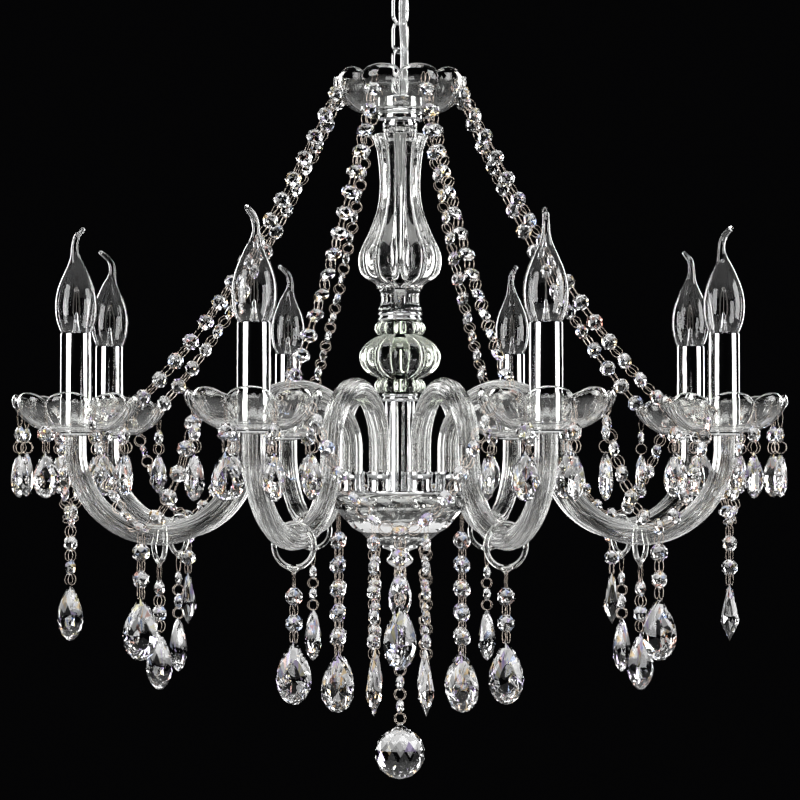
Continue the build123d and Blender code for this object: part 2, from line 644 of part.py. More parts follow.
# ---------------------------------------------------------------- arms
arm_foot = Vector(SOCKET_CIRCLE, 0, plate_top_z)
up = Vector(0, 0, 1)
arm_line = [(arm_foot, up)]
arm_line += arc_stations(Vector(upper_bend_r, 0, arm_bend_z), ARM_UPPER_BEND, 180, 0, ARM_STEPS)
arm_line += arc_stations(Vector(lower_bend_r, 0, arm_bend_z), ARM_LOWER_BEND, -180, 0, ARM_STEPS)[1:]
arm_line += [(Vector(candle_circle, 0, arm_end_z), up)]
glass_arm = bent_bar(arm_line, ARM_TUBE_RADIUS, ARM_RIBS)
round_arms = [Location((0, 0, 0), (0, 0, angle)) for angle in arm_angles]
finish(group(round_arms, glass_arm), "glass_arms")

# ---------------------------------------------------------------- candles
candle_places = [Location(polar(candle_circle, angle, 0), (0, 0, angle)) for angle in arm_angles]

with BuildPart() as stem:
    with BuildSketch(Plane.XY.offset(arm_end_z)):
        RegularPolygon(STEM_RADIUS, 8)
    extrude(amount=STEM_LENGTH)
finish(group(candle_places, stem.part), "candle_stems")

with BuildPart() as nut:
    with BuildSketch(Plane.XY.offset(arm_end_z)):
        RegularPolygon(BOBECHE_NUT_RADIUS, NUT_SIDES)
        RegularPolygon((STEM_RADIUS + BORE_PLAY) / math.cos(math.pi / NUT_SIDES), NUT_SIDES, mode=Mode.SUBTRACT)
    extrude(amount=BOBECHE_NUT_HEIGHT)
finish(group(candle_places, nut.part), "bobeche_nuts")

bobeche = scalloped_bowl(BOBECHE_PETALS, BOBECHE_RADIUS, BOBECHE_VALLEY_RADIUS, BOBECHE_FOOT_RADIUS,
                         BOBECHE_SHOULDER_RADIUS, BOBECHE_HEIGHT, BOBECHE_SCALLOP, BOBECHE_WALL,
                         STEM_RADIUS + BORE_PLAY)
bobeche_places = [Location(polar(candle_circle, angle, bobeche_z), (0, 0, angle)) for angle in arm_angles]
finish(group(bobeche_places, bobeche), "bobeches")

with BuildPart() as candle:
    with BuildSketch(Plane.XY.offset(bobeche_floor_z)):
        RegularPolygon(CANDLE_RADIUS, CANDLE_SIDES)
        RegularPolygon(CANDLE_RADIUS - CANDLE_WALL, CANDLE_SIDES, mode=Mode.SUBTRACT)
    extrude(amount=CANDLE_HEIGHT)
finish(group(candle_places, candle.part), "candle_sleeves")

holder_top_z = candle_top_z - HOLDER_DROP
holder_floor_z = holder_top_z - LAMP_CAP_LENGTH - PLAY
cap_bore = (LAMP_CAP_RADIUS + PLAY) / math.cos(math.pi / 8)
holder_profile = [
    (cap_bore, holder_floor_z), (cap_bore, holder_top_z), (HOLDER_RADIUS, holder_top_z),
    (HOLDER_RADIUS, arm_end_z + STEM_LENGTH),
]
finish(group(candle_places, turned(holder_profile, 8)), "lamp_holders")

# The lamp stands on its cap. Its glass swells above the sleeve and ends in a bent tail.
lamp_foot_z = holder_top_z + PLAY
lamp_span = candle_top_z + LAMP_HEIGHT - lamp_foot_z
lamp_profile = [(0.42, 0.0), (0.78, 0.1), (1, 0.3), (0.76, 0.5), (0.24, 0.74)]
lamp_rings = [round_ring(LAMP_CAP_RADIUS, lamp_foot_z - LAMP_CAP_LENGTH, 8)]
lamp_rings += [round_ring(LAMP_RADIUS * share, lamp_foot_z + rise * lamp_span, 8) for share, rise in lamp_profile]
lamp_rings.insert(1, round_ring(LAMP_CAP_RADIUS, lamp_foot_z - PLAY, 8))
for share, reach, rise in ((0.13, 0.3, 0.9), (0.06, 1, 1)):
    ring = round_ring(LAMP_RADIUS * share, lamp_foot_z + rise * lamp_span, 8)
    lamp_rings.append([corner + Vector(LAMP_TIP_BEND * reach, 0, 0) for corner in ring])
lamp = faceted(lamp_rings, triangles=True)

tip_turns = [150, 60, 200, 330, 30, 250, 100, 10]
for n, angle in enumerate(arm_angles):
    place = Location(polar(candle_circle, angle, 0), (0, 0, tip_turns[n % len(tip_turns)]))
    finish(group([place], lamp), f"bulb_{n + 1}")

# ---------------------------------------------------------------- pendants on the arms
ring_inside = (HOOK_RING_RADIUS - HOOK_RING_BAR) * math.cos(math.pi / HOOK_RING_STEPS)
ring_drop = (ring_inside - ARM_TUBE_RADIUS - PLAY / 2) / math.cos(math.pi / HOOK_RING_STEPS)
ring_hang_z = arm_low_z - ring_drop
hook_ring = wire_loop(HOOK_RING_RADIUS, 0, HOOK_RING_BAR, HOOK_RING_STEPS // 4, 4)
for n, angle in enumerate(arm_angles):
    tab_z = ring_hang_z - HOOK_RING_RADIUS - HOOK_RING_BAR * 0.7
    with BuildPart() as arm_drop:
        with Locations(Location(polar(lower_bend_r, angle, ring_hang_z), (0, 0, angle + 90))):
            add(hook_ring)
        with Locations(Location(polar(lower_bend_r, angle, 0))):
            add(hanging_strand(Vector(0, 0, tab_z), PENDANT_HOOK_LENGTH, PENDANT_BEADS, pear, angle + 90))
    finish(arm_drop.part, f"arm_drop_{n + 1}")

# ---------------------------------------------------------------- strands under the hub
hub_strand_r = HUB_BOWL_RADIUS * 0.965
hub_hook_z = plate_z - HUB_BOWL_HEIGHT * 0.42
for n, angle in enumerate(arm_angles):
    front = abs(math.sin(math.radians(angle))) > abs(math.cos(math.radians(angle)))
    hook = polar(hub_strand_r, angle, hub_hook_z)
    twist = angle + 30 if front else angle + 100
    finish(hanging_strand(hook, HUB_HOOK_LENGTH, HUB_STRAND_BEADS, spear if front else pear, twist),
           f"hub_drop_{n + 1}")

# ---------------------------------------------------------------- centre strand and crystal ball
stone_rings = [round_ring(CRYSTAL_BALL_RADIUS * 0.12, CRYSTAL_BALL_RADIUS * 1.22, 10)]
for turn in (58, 28, 0, -28, -56, -80):
    level = CRYSTAL_BALL_RADIUS * math.sin(math.radians(turn))
    stone_rings.append(round_ring(CRYSTAL_BALL_RADIUS * math.cos(math.radians(turn)), level, 10))
with BuildPart() as ball_stone:
    with Locations((0, 0, -CRYSTAL_BALL_RADIUS * 1.22)):
        add(faceted(stone_rings))
ball_hook = Vector(0, 0, finial_z - SEAT)
finish(hanging_strand(ball_hook, BEAD_GAP, BALL_STRAND_BEADS, ball_stone.part, 70), "ball_drop")

# ---------------------------------------------------------------- garlands
hole_level = BOBECHE_HEIGHT - BOBECHE_SCALLOP - HANGING_HOLE_DEPTH
hole_z = bobeche_z + hole_level
rim_wall = valley_wall(BOBECHE_VALLEY_RADIUS, BOBECHE_SHOULDER_RADIUS, BOBECHE_HEIGHT, BOBECHE_SCALLOP, hole_level)
rim_r = rim_wall + RIM_REACH
eyelet_level = BOWL_HEIGHT - GARLAND_DROP
eyelet_r = valley_wall(BOWL_VALLEY_RADIUS, BOWL_SHOULDER_RADIUS, BOWL_HEIGHT, BOWL_SCALLOP, eyelet_level)
garland_stones, garland_ties = [], []
for angle in arm_angles:
    start = polar(eyelet_r + PLAY, angle, bowl_z + eyelet_level)
    curve = hanging_curve(start, polar(candle_circle - rim_r, angle, hole_z), GARLAND_SAG)
    stones, ties = strand(curve)
    garland_stones += [frame_at(p, d, 24 * math.sin(2.1 * n + angle)) for n, (p, d) in enumerate(stones)]
    garland_ties += ties
finish(group(garland_stones, bead), "garland_crystals")
finish(tied(garland_ties), "garland_links")

# ---------------------------------------------------------------- swags and their pendants
swag_stones, swag_ties, swag_lows = [], [], []
for angle in arm_angles:
    ends = []
    for side, at in ((1, angle), (-1, angle + ARM_SPACING)):
        heading = at + side * (90 + ARM_SPACING / 2 - SWAG_LEAN)
        ends.append(polar(candle_circle, at, hole_z) + polar(rim_r, heading, 0))
    stones, ties = strand(hanging_curve(ends[0], ends[1], SWAG_SAG), odd=True)
    middle = len(stones) // 2
    for n, (p, d) in enumerate(stones):
        swag_stones.append(frame_at(p, d, 90 + 24 * math.sin(1.7 * (n - middle))))
    swag_ties += ties
    swag_lows.append(stones[middle][0])
finish(group(swag_stones, bead), "swag_crystals")
finish(tied(swag_ties), "swag_links")

low_edge = BEAD_RADIUS * math.cos(math.pi / BEAD_SIDES) + SEAT
with BuildPart() as swag_drops:
    for n, low in enumerate(swag_lows):
        drop = spear if n % 4 == 3 else pear
        with Locations(low - Vector(0, 0, low_edge)):
            add(hanging_strand(Vector(0, 0, 0), BEAD_GAP, PENDANT_BEADS, drop, 25 * n))
finish(swag_drops.part, "swag_drops")

# ---------------------------------------------------------------- small pendants round the bobeches
small_strand = hanging_strand(Vector(0, 0, 0), PENDANT_HOOK_LENGTH, 1, small_pear, 90)
drop_places = []
for angle in arm_angles:
    for turn in (0, 45, -45, 135, -135):
        foot = polar(candle_circle, angle, hole_z) + polar(rim_wall + LINK_RADIUS + SEAT, angle + turn, 0)
        drop_places.append(Location(foot, (0, 0, angle + turn + 20)))
finish(group(drop_places, small_strand), "bobeche_drops")
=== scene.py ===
"""Looks of a crystal chandelier with eight glass arms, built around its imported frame.

Metres, +Z up. The frame gives the levels and radii, and each class below makes one sub-assembly:
its surfaces are worked out on parametric grids, and its finishes are procedural.
"""

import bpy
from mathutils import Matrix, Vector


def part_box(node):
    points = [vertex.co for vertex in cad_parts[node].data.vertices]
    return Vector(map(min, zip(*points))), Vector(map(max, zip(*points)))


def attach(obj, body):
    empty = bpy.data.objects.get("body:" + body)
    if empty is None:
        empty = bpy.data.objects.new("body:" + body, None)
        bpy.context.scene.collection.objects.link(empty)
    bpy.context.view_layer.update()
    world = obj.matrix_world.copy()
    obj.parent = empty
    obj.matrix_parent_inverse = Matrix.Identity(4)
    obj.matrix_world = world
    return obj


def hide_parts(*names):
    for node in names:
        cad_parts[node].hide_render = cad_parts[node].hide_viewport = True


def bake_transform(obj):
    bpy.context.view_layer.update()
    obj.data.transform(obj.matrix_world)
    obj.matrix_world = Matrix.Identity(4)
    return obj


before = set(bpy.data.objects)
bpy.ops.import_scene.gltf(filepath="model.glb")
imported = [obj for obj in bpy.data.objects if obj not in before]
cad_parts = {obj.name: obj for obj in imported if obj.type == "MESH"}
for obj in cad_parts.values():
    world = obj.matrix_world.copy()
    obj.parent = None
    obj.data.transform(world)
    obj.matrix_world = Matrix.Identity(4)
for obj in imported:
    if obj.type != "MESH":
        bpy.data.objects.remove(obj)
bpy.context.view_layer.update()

import logging
import math
from dataclasses import dataclass, field, replace
from enum import StrEnum

import bpy
import numpy as np

Array = np.ndarray
Colour = tuple[float, float, float]
Faces = list[tuple[int, ...]]
Pairs = list[tuple[float, float]]
log = logging.getLogger("chandelier")

MM = 0.001
UP = np.array([0.0, 0.0, 1.0])
ACROSS = np.array([0.0, 1.0, 0.0])    # square to anything drawn in the XZ plane
ARM_COUNT = 8
ARM_STEP = 2 * math.pi / ARM_COUNT
ARM_TURNS = ARM_STEP / 2 + ARM_STEP * np.arange(ARM_COUNT)
CANDLE_CIRCLE = 288 * MM
ARM_FOOT_CIRCLE = 45 * MM
ARM_LOW_CIRCLE = 216.5 * MM
ROD_BORE = 5.3 * MM
STEM_BORE = 4.3 * MM
BEAD_REACH = 7 * MM           # from the middle of a stone to its end along the strand
BEAD_GAP = 6.8 * MM           # between two stones of a strand
CLIP_RADIUS = 5.2 * MM


class Body(StrEnum):
    """Bodies of the frame that carry more than one piece."""

    CEILING = "ceiling_mount"
    LINK = "chain_top"
    FIXTURE = "fixture"


class Slot(StrEnum):
    """Material slots of the record."""

    CHROME = "chrome"
    GLASS = "clear_glass"
    CRYSTAL = "cut_crystal"
    LAMP = "lamp_glass"
    WIRE = "pin_wire"
    FLEX = "clear_flex"


# ------------------------------------------------------------------ arrays of points
def level(node: str, top: bool = False) -> float:
    """Height of a node's lowest point, or of its highest where top is True."""
    return float(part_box(node)[1 if top else 0].z)


def extent(node: str) -> tuple[float, float, float]:
    """A node's lowest and highest level, and its reach from the column's axis along X."""
    low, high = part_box(node)
    return float(low.z), float(high.z), float(max(high.x, -low.x))


def smooth_line(knots: Array | Pairs, count: int) -> Array:
    """Even points on a smooth line through knots.

    Each span is the cubic whose slopes at its ends are half the run between the neighbouring knots.

    Args:
        knots: Points that the line goes through, one row each.
        count: How many points to return.

    Returns:
        Points along the line, the first and last knots among them.
    """
    knots = np.asarray(knots, float)
    padded = np.vstack([2 * knots[0] - knots[1], knots, 2 * knots[-1] - knots[-2]])
    at = np.linspace(0, len(knots) - 1, count)
    span = np.minimum(at.astype(int), len(knots) - 2)
    t = (at - span)[:, None]
    before, start, end, after = (padded[span + n] for n in range(4))
    return start + 0.5 * t * (end - before + t * (2 * before - 5 * start + 4 * end - after
                                                  + t * (3 * (start - end) + after - before)))


def stepped(pairs: Pairs, base: float, wide: float = 0.0) -> Array:
    """Outline in metres from millimetre pairs: (radius past a width, height above a level)."""
    return np.array(pairs) * MM + [wide, base]


def fitted(pairs: Pairs, low: float, high: float, wide: float) -> Array:
    """Outline in metres from shares: (share of a width, share of the way between two levels)."""
    return np.array(pairs) * [wide, high - low] + [0, low]


def bored(profile: Array) -> Array:
    """A profile with the rod's bore as its inner wall, between the profile's two end levels."""
    return np.vstack([[(ROD_BORE, profile[0][1])], profile, [(ROD_BORE, profile[-1][1])]])


def round_turns(count: int) -> Array:
    """Even turns round a circle, from zero."""
    return np.linspace(0, 2 * math.pi, count, endpoint=False)


def creases(count: int, lobes: int) -> Array:
    """Depth between lobes at even turns round a section: 1 - |cos(lobes * turn / 2)|."""
    return 1 - np.abs(np.cos(lobes * round_turns(count) / 2))


def unit(rows: Array) -> Array:
    """Rows divided by their own lengths."""
    rows = np.asarray(rows, float)
    return rows / np.maximum(np.linalg.norm(rows, axis=-1, keepdims=True), 1e-12)


def polar(radius: Array | float, turn: Array | float, z: Array | float) -> Array:
    """Points at radii and turns about the column, with heights."""
    radius, turn, z = np.broadcast_arrays(radius, turn, z)
    return np.stack([radius * np.cos(turn), radius * np.sin(turn), z], -1).astype(float)


def places(origins: Array, x_axes: Array, z_axes: Array = UP) -> Array:
    """Matrices that set a form at origins, with its own X and Z along the given axes.

    Z is kept, X is made square to it, and Y is their cross product.

    Args:
        origins: Where the form's origin goes.
        x_axes: Directions of its X axis.
        z_axes: Directions of its Z axis.

    Returns:
        One 4 by 4 matrix for each origin.
    """
    origins, x_axes, z_axes = np.broadcast_arrays(np.atleast_2d(origins), x_axes, z_axes)
    z = unit(z_axes)
    x = unit(x_axes - np.sum(x_axes * z, -1, keepdims=True) * z)
    made = np.tile(np.eye(4), (len(origins), 1, 1))
    made[:, :3, 0], made[:, :3, 1], made[:, :3, 2], made[:, :3, 3] = x, np.cross(z, x), z, origins
    return made


def on_axis(z: float, degrees: float) -> Array:
    """The upright place at a level of the column's axis, with its own X turned by some degrees."""
    return places(UP * z, polar(1, math.radians(degrees), 0))


def round_places(radius: float, z: float) -> Array:
    """Upright places on a circle about the column, one for each arm, with their own X outwards."""
    return places(polar(radius, ARM_TURNS, z), polar(1.0, ARM_TURNS, 0.0))


@dataclass
class Form:
    """Points and faces of a shape before it becomes a mesh."""

    points: Array
    faces: Faces

    def at(self, matrices: Array) -> "Form":
        """Copies of the form as one, each point times each of the 4 by 4 matrices."""
        count = len(self.points)
        rows = np.c_[self.points, np.ones(count)]
        moved = np.einsum("kij,nj->kni", matrices, rows)[..., :3].reshape(-1, 3)
        faces = [tuple(i + k * count for i in f) for k in range(len(matrices)) for f in self.faces]
        return Form(moved, faces)

    def scaled(self, x: float, y: float, z: float) -> "Form":
        """The form stretched along its own axes."""
        return Form(self.points * [x, y, z], self.faces)

    def flipped(self) -> "Form":
        """The form with its faces turned round, as for the inside of a hollow."""
        return Form(self.points, [face[::-1] for face in self.faces])


def joined(*forms: Form) -> Form:
    """Several forms as one."""
    starts = np.cumsum([0] + [len(f.points) for f in forms])
    faces = [tuple(i + int(s) for i in face) for f, s in zip(forms, starts) for face in f.faces]
    return Form(np.vstack([f.points for f in forms]), faces)


def sheet_of(rows: Array, ring: bool = False, caps: bool = True) -> Form:
    """Closed surface over a grid of points whose rows go round.

    Quads join neighbouring rows and columns. The last row joins the first, or each end gets one face.

    Args:
        rows: Points, as rows by columns by 3. Rows that go up, with columns anticlockwise, face out.
        ring: True to join the last row to the first.
        caps: True to close the two ends where they aren't joined.

    Returns:
        The surface as a form.
    """
    count, around = rows.shape[:2]
    r = np.arange(count if ring else count - 1)[:, None]
    c = np.arange(around)[None, :]
    beside, above = (c + 1) % around, (r + 1) % count
    quads = np.stack(np.broadcast_arrays(r * around + c, r * around + beside, above * around + beside,
                                         above * around + c), -1)
    faces = [tuple(q) for q in quads.reshape(-1, 4).tolist()]
    if caps and not ring:
        faces.append(tuple(range(around - 1, -1, -1)))
        faces.append(tuple(range((count - 1) * around, count * around)))
    return Form(rows.reshape(-1, 3), faces)


def turned(profile: Array, around: int = 96, lobes: int = 0, depth: float | Array = 0.0,
           ring: bool = True) -> Form:
    """Surface of revolution, with lobes where a number is given.

    A point's radius is the profile's radius times 1 - depth * crease.

    Args:
        profile: (radius, height) pairs, going up where the surface faces out.
        around: Columns of the grid.
        lobes: How many lobes go round.
        depth: Share of the radius that a crease takes, one value or one for each pair.
        ring: True where the profile is a closed outline.

    Returns:
        The surface as a form.
    """
    share = 1 - np.broadcast_to(depth, len(profile))[:, None] * creases(around, lobes)
    return sheet_of(polar(profile[:, :1] * share, round_turns(around), profile[:, 1:]), ring=ring)


def tube(path: Array, radius: float, sides: int = 16, lobes: int = 0, depth: float = 0.0,
         loop: bool = False, side: Array = ACROSS) -> Form:
    """Bar of one section along a path that lies in a plane, or nearly so.

    Each ring's first axis is the part of the side direction that is square to the path.

    Args:
        path: Points of the centre line.
        radius: Of the bar.
        sides: Points in a section.
        lobes: Ribs round the section.
        depth: Share of the radius that a crease between ribs takes.
        loop: True where the path closes on itself.
        side: A direction that is never along the path.

    Returns:
        The bar as a form.
    """
    along = unit(np.roll(path, -1, 0) - np.roll(path, 1, 0) if loop else np.gradient(path, axis=0))
    first = unit(side - np.sum(along * side, -1, keepdims=True) * along)
    second = np.cross(along, first)
    turn = round_turns(sides)[:, None]
    ring = first[:, None, :] * np.cos(turn) + second[:, None, :] * np.sin(turn)
    out = radius * (1 - depth * creases(sides, lobes))[:, None]
    return sheet_of(path[:, None, :] + out * ring, ring=loop)


def wire_loop(radius: float, straight: float, wire: float) -> Form:
    """Closed wire oval in the XZ plane: two half circles of a radius, with straight sides between."""
    arc = np.linspace(0, math.pi, 25)
    head = np.c_[radius * np.cos(arc), np.zeros(25), radius * np.sin(arc) + straight / 2]
    foot = head * [-1, 1, -1]
    path = np.vstack([head, foot] if straight else [head[:-1], foot[:-1]])
    return tube(path, wire, 14, loop=True)


def wire_ring(radius: float, wire: float) -> Form:
    """Round ring in the XZ plane, light enough to be repeated hundreds of times."""
    turn = round_turns(12)
    return tube(radius * np.c_[np.cos(turn), np.zeros(12), np.sin(turn)], wire, 3, loop=True)


def facet_rows(rows: Array, slanted: int) -> Faces:
    """Flat triangles between rows of corners, each row half a facet round from the one below.

    Args:
        rows: Corners, as rows by columns by 3.
        slanted: Parity of the rows whose facets are cut from their own first corner.

    Returns:
        The triangles, row by row.
    """
    count, around = rows.shape[:2]
    r, c = np.arange(count - 1)[:, None], np.arange(around)[None, :]
    a, b = r * around + c, r * around + (c + 1) % around
    d, e = a + around, b + around
    from_first = (r % 2 == slanted)[..., None]
    pairs = [np.where(from_first, np.stack(yes, -1), np.stack(no, -1))
             for yes, no in (((a, b, e), (a, b, d)), ((a, e, d), (b, e, d)))]
    return [tuple(f) for f in np.stack(pairs, 2).reshape(-1, 3).tolist()]


def cut_stone(outline: Array, heart: float, half: float, steps: Pairs) -> Form:
    """Flat-cut stone, the same on both faces, whose facets run to a point over its heart.

    Each step draws the outline in towards the heart by a share, at a share of the half thickness,
    and every second step lies half a facet round. Triangles join each ring of corners to the next.

    Args:
        outline: Corners in the XZ plane, anticlockwise seen from -Y.
        heart: Height of the point that the facets run towards.
        half: Half the stone's thickness.
        steps: (share of the outline that is left, share of the half thickness) for each ring.

    Returns:
        The stone as a form.
    """
    count = len(outline)
    centre = UP * heart
    girdle = np.c_[outline[:, 0], np.zeros(count), outline[:, 1]]
    between = (girdle + np.roll(girdle, -1, 0)) / 2
    rings = [girdle]
    for n, (share, lift) in enumerate(steps):
        ring = centre + ((girdle if n % 2 else between) - centre) * share
        ring[:, 1] = -half * lift
        rings.append(ring)
    face = np.vstack(rings + [centre - half * ACROSS])
    n = np.arange(count)
    beside, last, tip = (n + 1) % count, len(steps) * count, len(rings) * count
    front = [np.stack([n + last, beside + last, np.full(count, tip)], -1)]
    for k in range(0, last, count):
        a, b, c, d = n + k, beside + k, n + k + count, beside + k + count
        front += [np.stack([a, b, c], -1), np.stack([b, d, c], -1)]
    front = np.vstack(front)
    back = np.where(front < count, front, front + tip + 1 - count)[:, ::-1]
    points = np.vstack([face, face[count:] * [1, -1, 1]])
    return Form(points, [tuple(f) for f in np.vstack([front, back]).tolist()])


# ------------------------------------------------------------------ finishes
def shaded(name: str, inputs: dict[str, object]) -> tuple[bpy.types.Material, bpy.types.ShaderNode]:
    """A new node material and its main shader, with some of the shader's inputs set."""
    material = bpy.data.materials.new(name)
    material.use_nodes = True
    shader = material.node_tree.nodes["Principled BSDF"]
    for key, value in inputs.items():
        shader.inputs[key].default_value = value
    return material, shader


def grained(material: bpy.types.Material, shader: bpy.types.ShaderNode, scale: float, strength: float,
            gloss: tuple[float, float], stretch: Colour = (1.0, 1.0, 1.0)) -> None:
    """Gives a finish fine relief and uneven gloss from one noise on Object coordinates.

    Args:
        material: The material.
        shader: Its main shader.
        scale: Of the noise, per metre.
        strength: Of the relief.
        gloss: Least and most roughness.
        stretch: Scale of the noise along X, Y and Z.
    """
    nodes, link = material.node_tree.nodes, material.node_tree.links.new
    place, mapping, noise, bump, span = (nodes.new("ShaderNode" + kind) for kind in
                                         ("TexCoord", "Mapping", "TexNoise", "Bump", "MapRange"))
    mapping.inputs["Scale"].default_value = stretch
    noise.inputs["Scale"].default_value = scale
    noise.inputs["Detail"].default_value = 3
    bump.inputs["Strength"].default_value = strength
    bump.inputs["Distance"].default_value = 0.6 * MM
    for key, value in zip(("From Min", "From Max", "To Min", "To Max"), (0.3, 0.7, *gloss)):
        span.inputs[key].default_value = value
    link(place.outputs["Object"], mapping.inputs["Vector"])
    link(mapping.outputs["Vector"], noise.inputs["Vector"])
    link(noise.outputs["Fac"], bump.inputs["Height"])
    link(bump.outputs["Normal"], shader.inputs["Normal"])
    link(noise.outputs["Fac"], span.inputs["Value"])
    link(span.outputs["Result"], shader.inputs["Roughness"])


def tinted_by(material: bpy.types.Material, shader: bpy.types.ShaderNode, value: str,
              stops: list[tuple[float, Colour]], steps: bool = False) -> None:
    """Colours a finish by a value that each piece's own mesh carries.

    Args:
        material: The material.
        shader: Its main shader.
        value: Name of the value.
        stops: Values and the colours that they get.
        steps: True to go from colour to colour at once.
    """
    nodes, link = material.node_tree.nodes, material.node_tree.links.new
    carried, ramp = nodes.new("ShaderNodeAttribute"), nodes.new("ShaderNodeValToRGB")
    carried.attribute_name = value
    ramp.color_ramp.interpolation = "CONSTANT" if steps else "LINEAR"
    elements = ramp.color_ramp.elements
    for n, (at, colour) in enumerate(stops):
        stop = elements[n] if n < 2 else elements.new(at)
        stop.position, stop.color = at, (*colour, 1)
    link(carried.outputs["Fac"], ramp.inputs["Fac"])
    link(ramp.outputs["Color"], shader.inputs["Base Color"])


@dataclass(frozen=True)
class Glass:
    """Clear or slightly tinted glass with a faint unevenness from its mould, and painted shade in its grooves
    where a shade colour is given.
    """

    name: str
    tint: Colour = (0.985, 0.99, 0.972)
    index: float = 1.5
    ripple: float = 0.012
    haze: tuple[float, float] = (0.0, 0.02)
    # painted shade: the darker base colour that the grooves between the ribs get
    groove_painted_shade: Colour | None = None

    def material(self) -> bpy.types.Material:
        """Makes the finish. A given groove colour is painted shade: the base colour goes darker where the
        mesh's own groove value is high.
        """
        material, shader = shaded(self.name, {"Base Color": (*self.tint, 1), "Transmission Weight": 1,
                                              "IOR": self.index})
        # painted shade: base colour darkened along the grooves, standing in for the dark lines that the ribs
        # refract
        if self.groove_painted_shade:
            tinted_by(material, shader, "groove", [(0.25, self.tint), (0.9, self.groove_painted_shade)])
        grained(material, shader, 60, self.ripple, self.haze)
        return material


@dataclass(frozen=True)
class Crystal:
    """Cut crystal: some facets of each stone carry painted fire, coloured glints of the light that it throws,
    as their base colour.
    """

    name: str
    clear_share: float = 0.87
    # painted light: coloured glints of dispersed light, painted on a share of the facets
    painted_fire: tuple[Colour, ...] = (
        (1.0, 0.62, 0.25), (0.4, 0.55, 1.0), (1.0, 0.9, 0.4), (0.62, 0.45, 1.0), (1.0, 0.4, 0.3))

    def material(self) -> bpy.types.Material:
        """Makes the finish: a facet's own value picks clear glass or one of the painted glint colours."""
        material, shader = shaded(self.name, {"Transmission Weight": 1, "IOR": 1.6})
        step = (1 - self.clear_share) / len(self.painted_fire)
        stops = [(self.clear_share + n * step, colour) for n, colour in enumerate(self.painted_fire)]
        # painted glints: a share of the facets gets a coloured base colour
        tinted_by(material, shader, "facet", [(0, (1, 1, 1)), *stops], steps=True)
        grained(material, shader, 160, 0.02, (0, 0.015))
        return material


@dataclass(frozen=True)
class Metal:
    """Plated or bare metal, with wiping marks along one direction."""

    name: str
    colour: Colour = (0.78, 0.785, 0.79)
    gloss: tuple[float, float] = (0.04, 0.11)
    stretch: Colour = (1.0, 1.0, 0.12)
    marks: float = 0.04

    def material(self) -> bpy.types.Material:
        """Makes the finish: roughness between two values, and a fine relief."""
        material, shader = shaded(self.name, {"Base Color": (*self.colour, 1), "Metallic": 1})
        grained(material, shader, 220, self.marks, self.gloss, self.stretch)
        return material


@dataclass(frozen=True)
class Plastic:
    """Moulded plastic with a fine grain."""

    name: str
    colour: Colour
    gloss: tuple[float, float] = (0.35, 0.55)
    see_through: float = 0.0

    def material(self) -> bpy.types.Material:
        """Makes the finish: roughness from noise, with its clearness as a constant."""
        material, shader = shaded(self.name, {"Base Color": (*self.colour, 1), "IOR": 1.45,
                                              "Transmission Weight": self.see_through})
        grained(material, shader, 400, 0.08, self.gloss)
        return material


@dataclass(frozen=True)
class Finish:
    """A material, and the record's slot that it belongs to."""

    material: bpy.types.Material
    slot: Slot


class Finishes:
    """Every finish of the chandelier, made once and shared."""

    def __init__(self) -> None:
        even = (1, 1, 1)
        # the arms' glass gets painted shade in its grooves: base colour down to 0.42 between the ribs
        arm = Glass("drawn ribbed glass", ripple=0.002, haze=(0.05, 0.09), groove_painted_shade=(0.42, 0.42, 0.41))
        green = Glass("faintly green glass", tint=(0.92, 0.975, 0.86), ripple=0.02)
        lamp = Glass("thin lamp glass", tint=(0.99, 0.99, 0.99), index=1.45, ripple=0.01)
        wire = Metal("bright pin wire", (0.64, 0.55, 0.48), (0.12, 0.25), even, 0.05)
        filament = Metal("tungsten", (0.32, 0.3, 0.28), (0.3, 0.5), even, 0.1)
        brass = Metal("lamp cap", (0.74, 0.7, 0.62), (0.2, 0.35), even, 0.1)
        flex = Plastic("clear cable sheath", (0.93, 0.94, 0.94), (0.06, 0.16), 0.75)
        self.glass = Finish(Glass("clear moulded glass").material(), Slot.GLASS)
        self.arm_glass = Finish(arm.material(), Slot.GLASS)
        self.green_glass = Finish(green.material(), Slot.GLASS)
        self.lamp_glass = Finish(lamp.material(), Slot.LAMP)
        self.crystal = Finish(Crystal("cut crystal").material(), Slot.CRYSTAL)
        self.chrome = Finish(Metal("polished chrome").material(), Slot.CHROME)
        self.wire = Finish(wire.material(), Slot.WIRE)
        self.filament = Finish(filament.material(), Slot.LAMP)
        self.brass = Finish(brass.material(), Slot.LAMP)
        self.flex = Finish(flex.material(), Slot.FLEX)
        self.steel = Metal("bright zinc", (0.6, 0.61, 0.62), (0.22, 0.4), even, 0.15).material()
        self.nylon = Plastic("moulded grip", (0.82, 0.82, 0.8)).material()
        self.holder = Plastic("moulded lamp holder", (0.03, 0.03, 0.032)).material()


def carry(mesh: bpy.types.Mesh, name: str, values: Array, domain: str) -> None:
    """Stores one number for each face or point of a mesh, by its domain."""
    mesh.attributes.new(name, "FLOAT", domain).data.foreach_set("value", values.astype(np.float32))


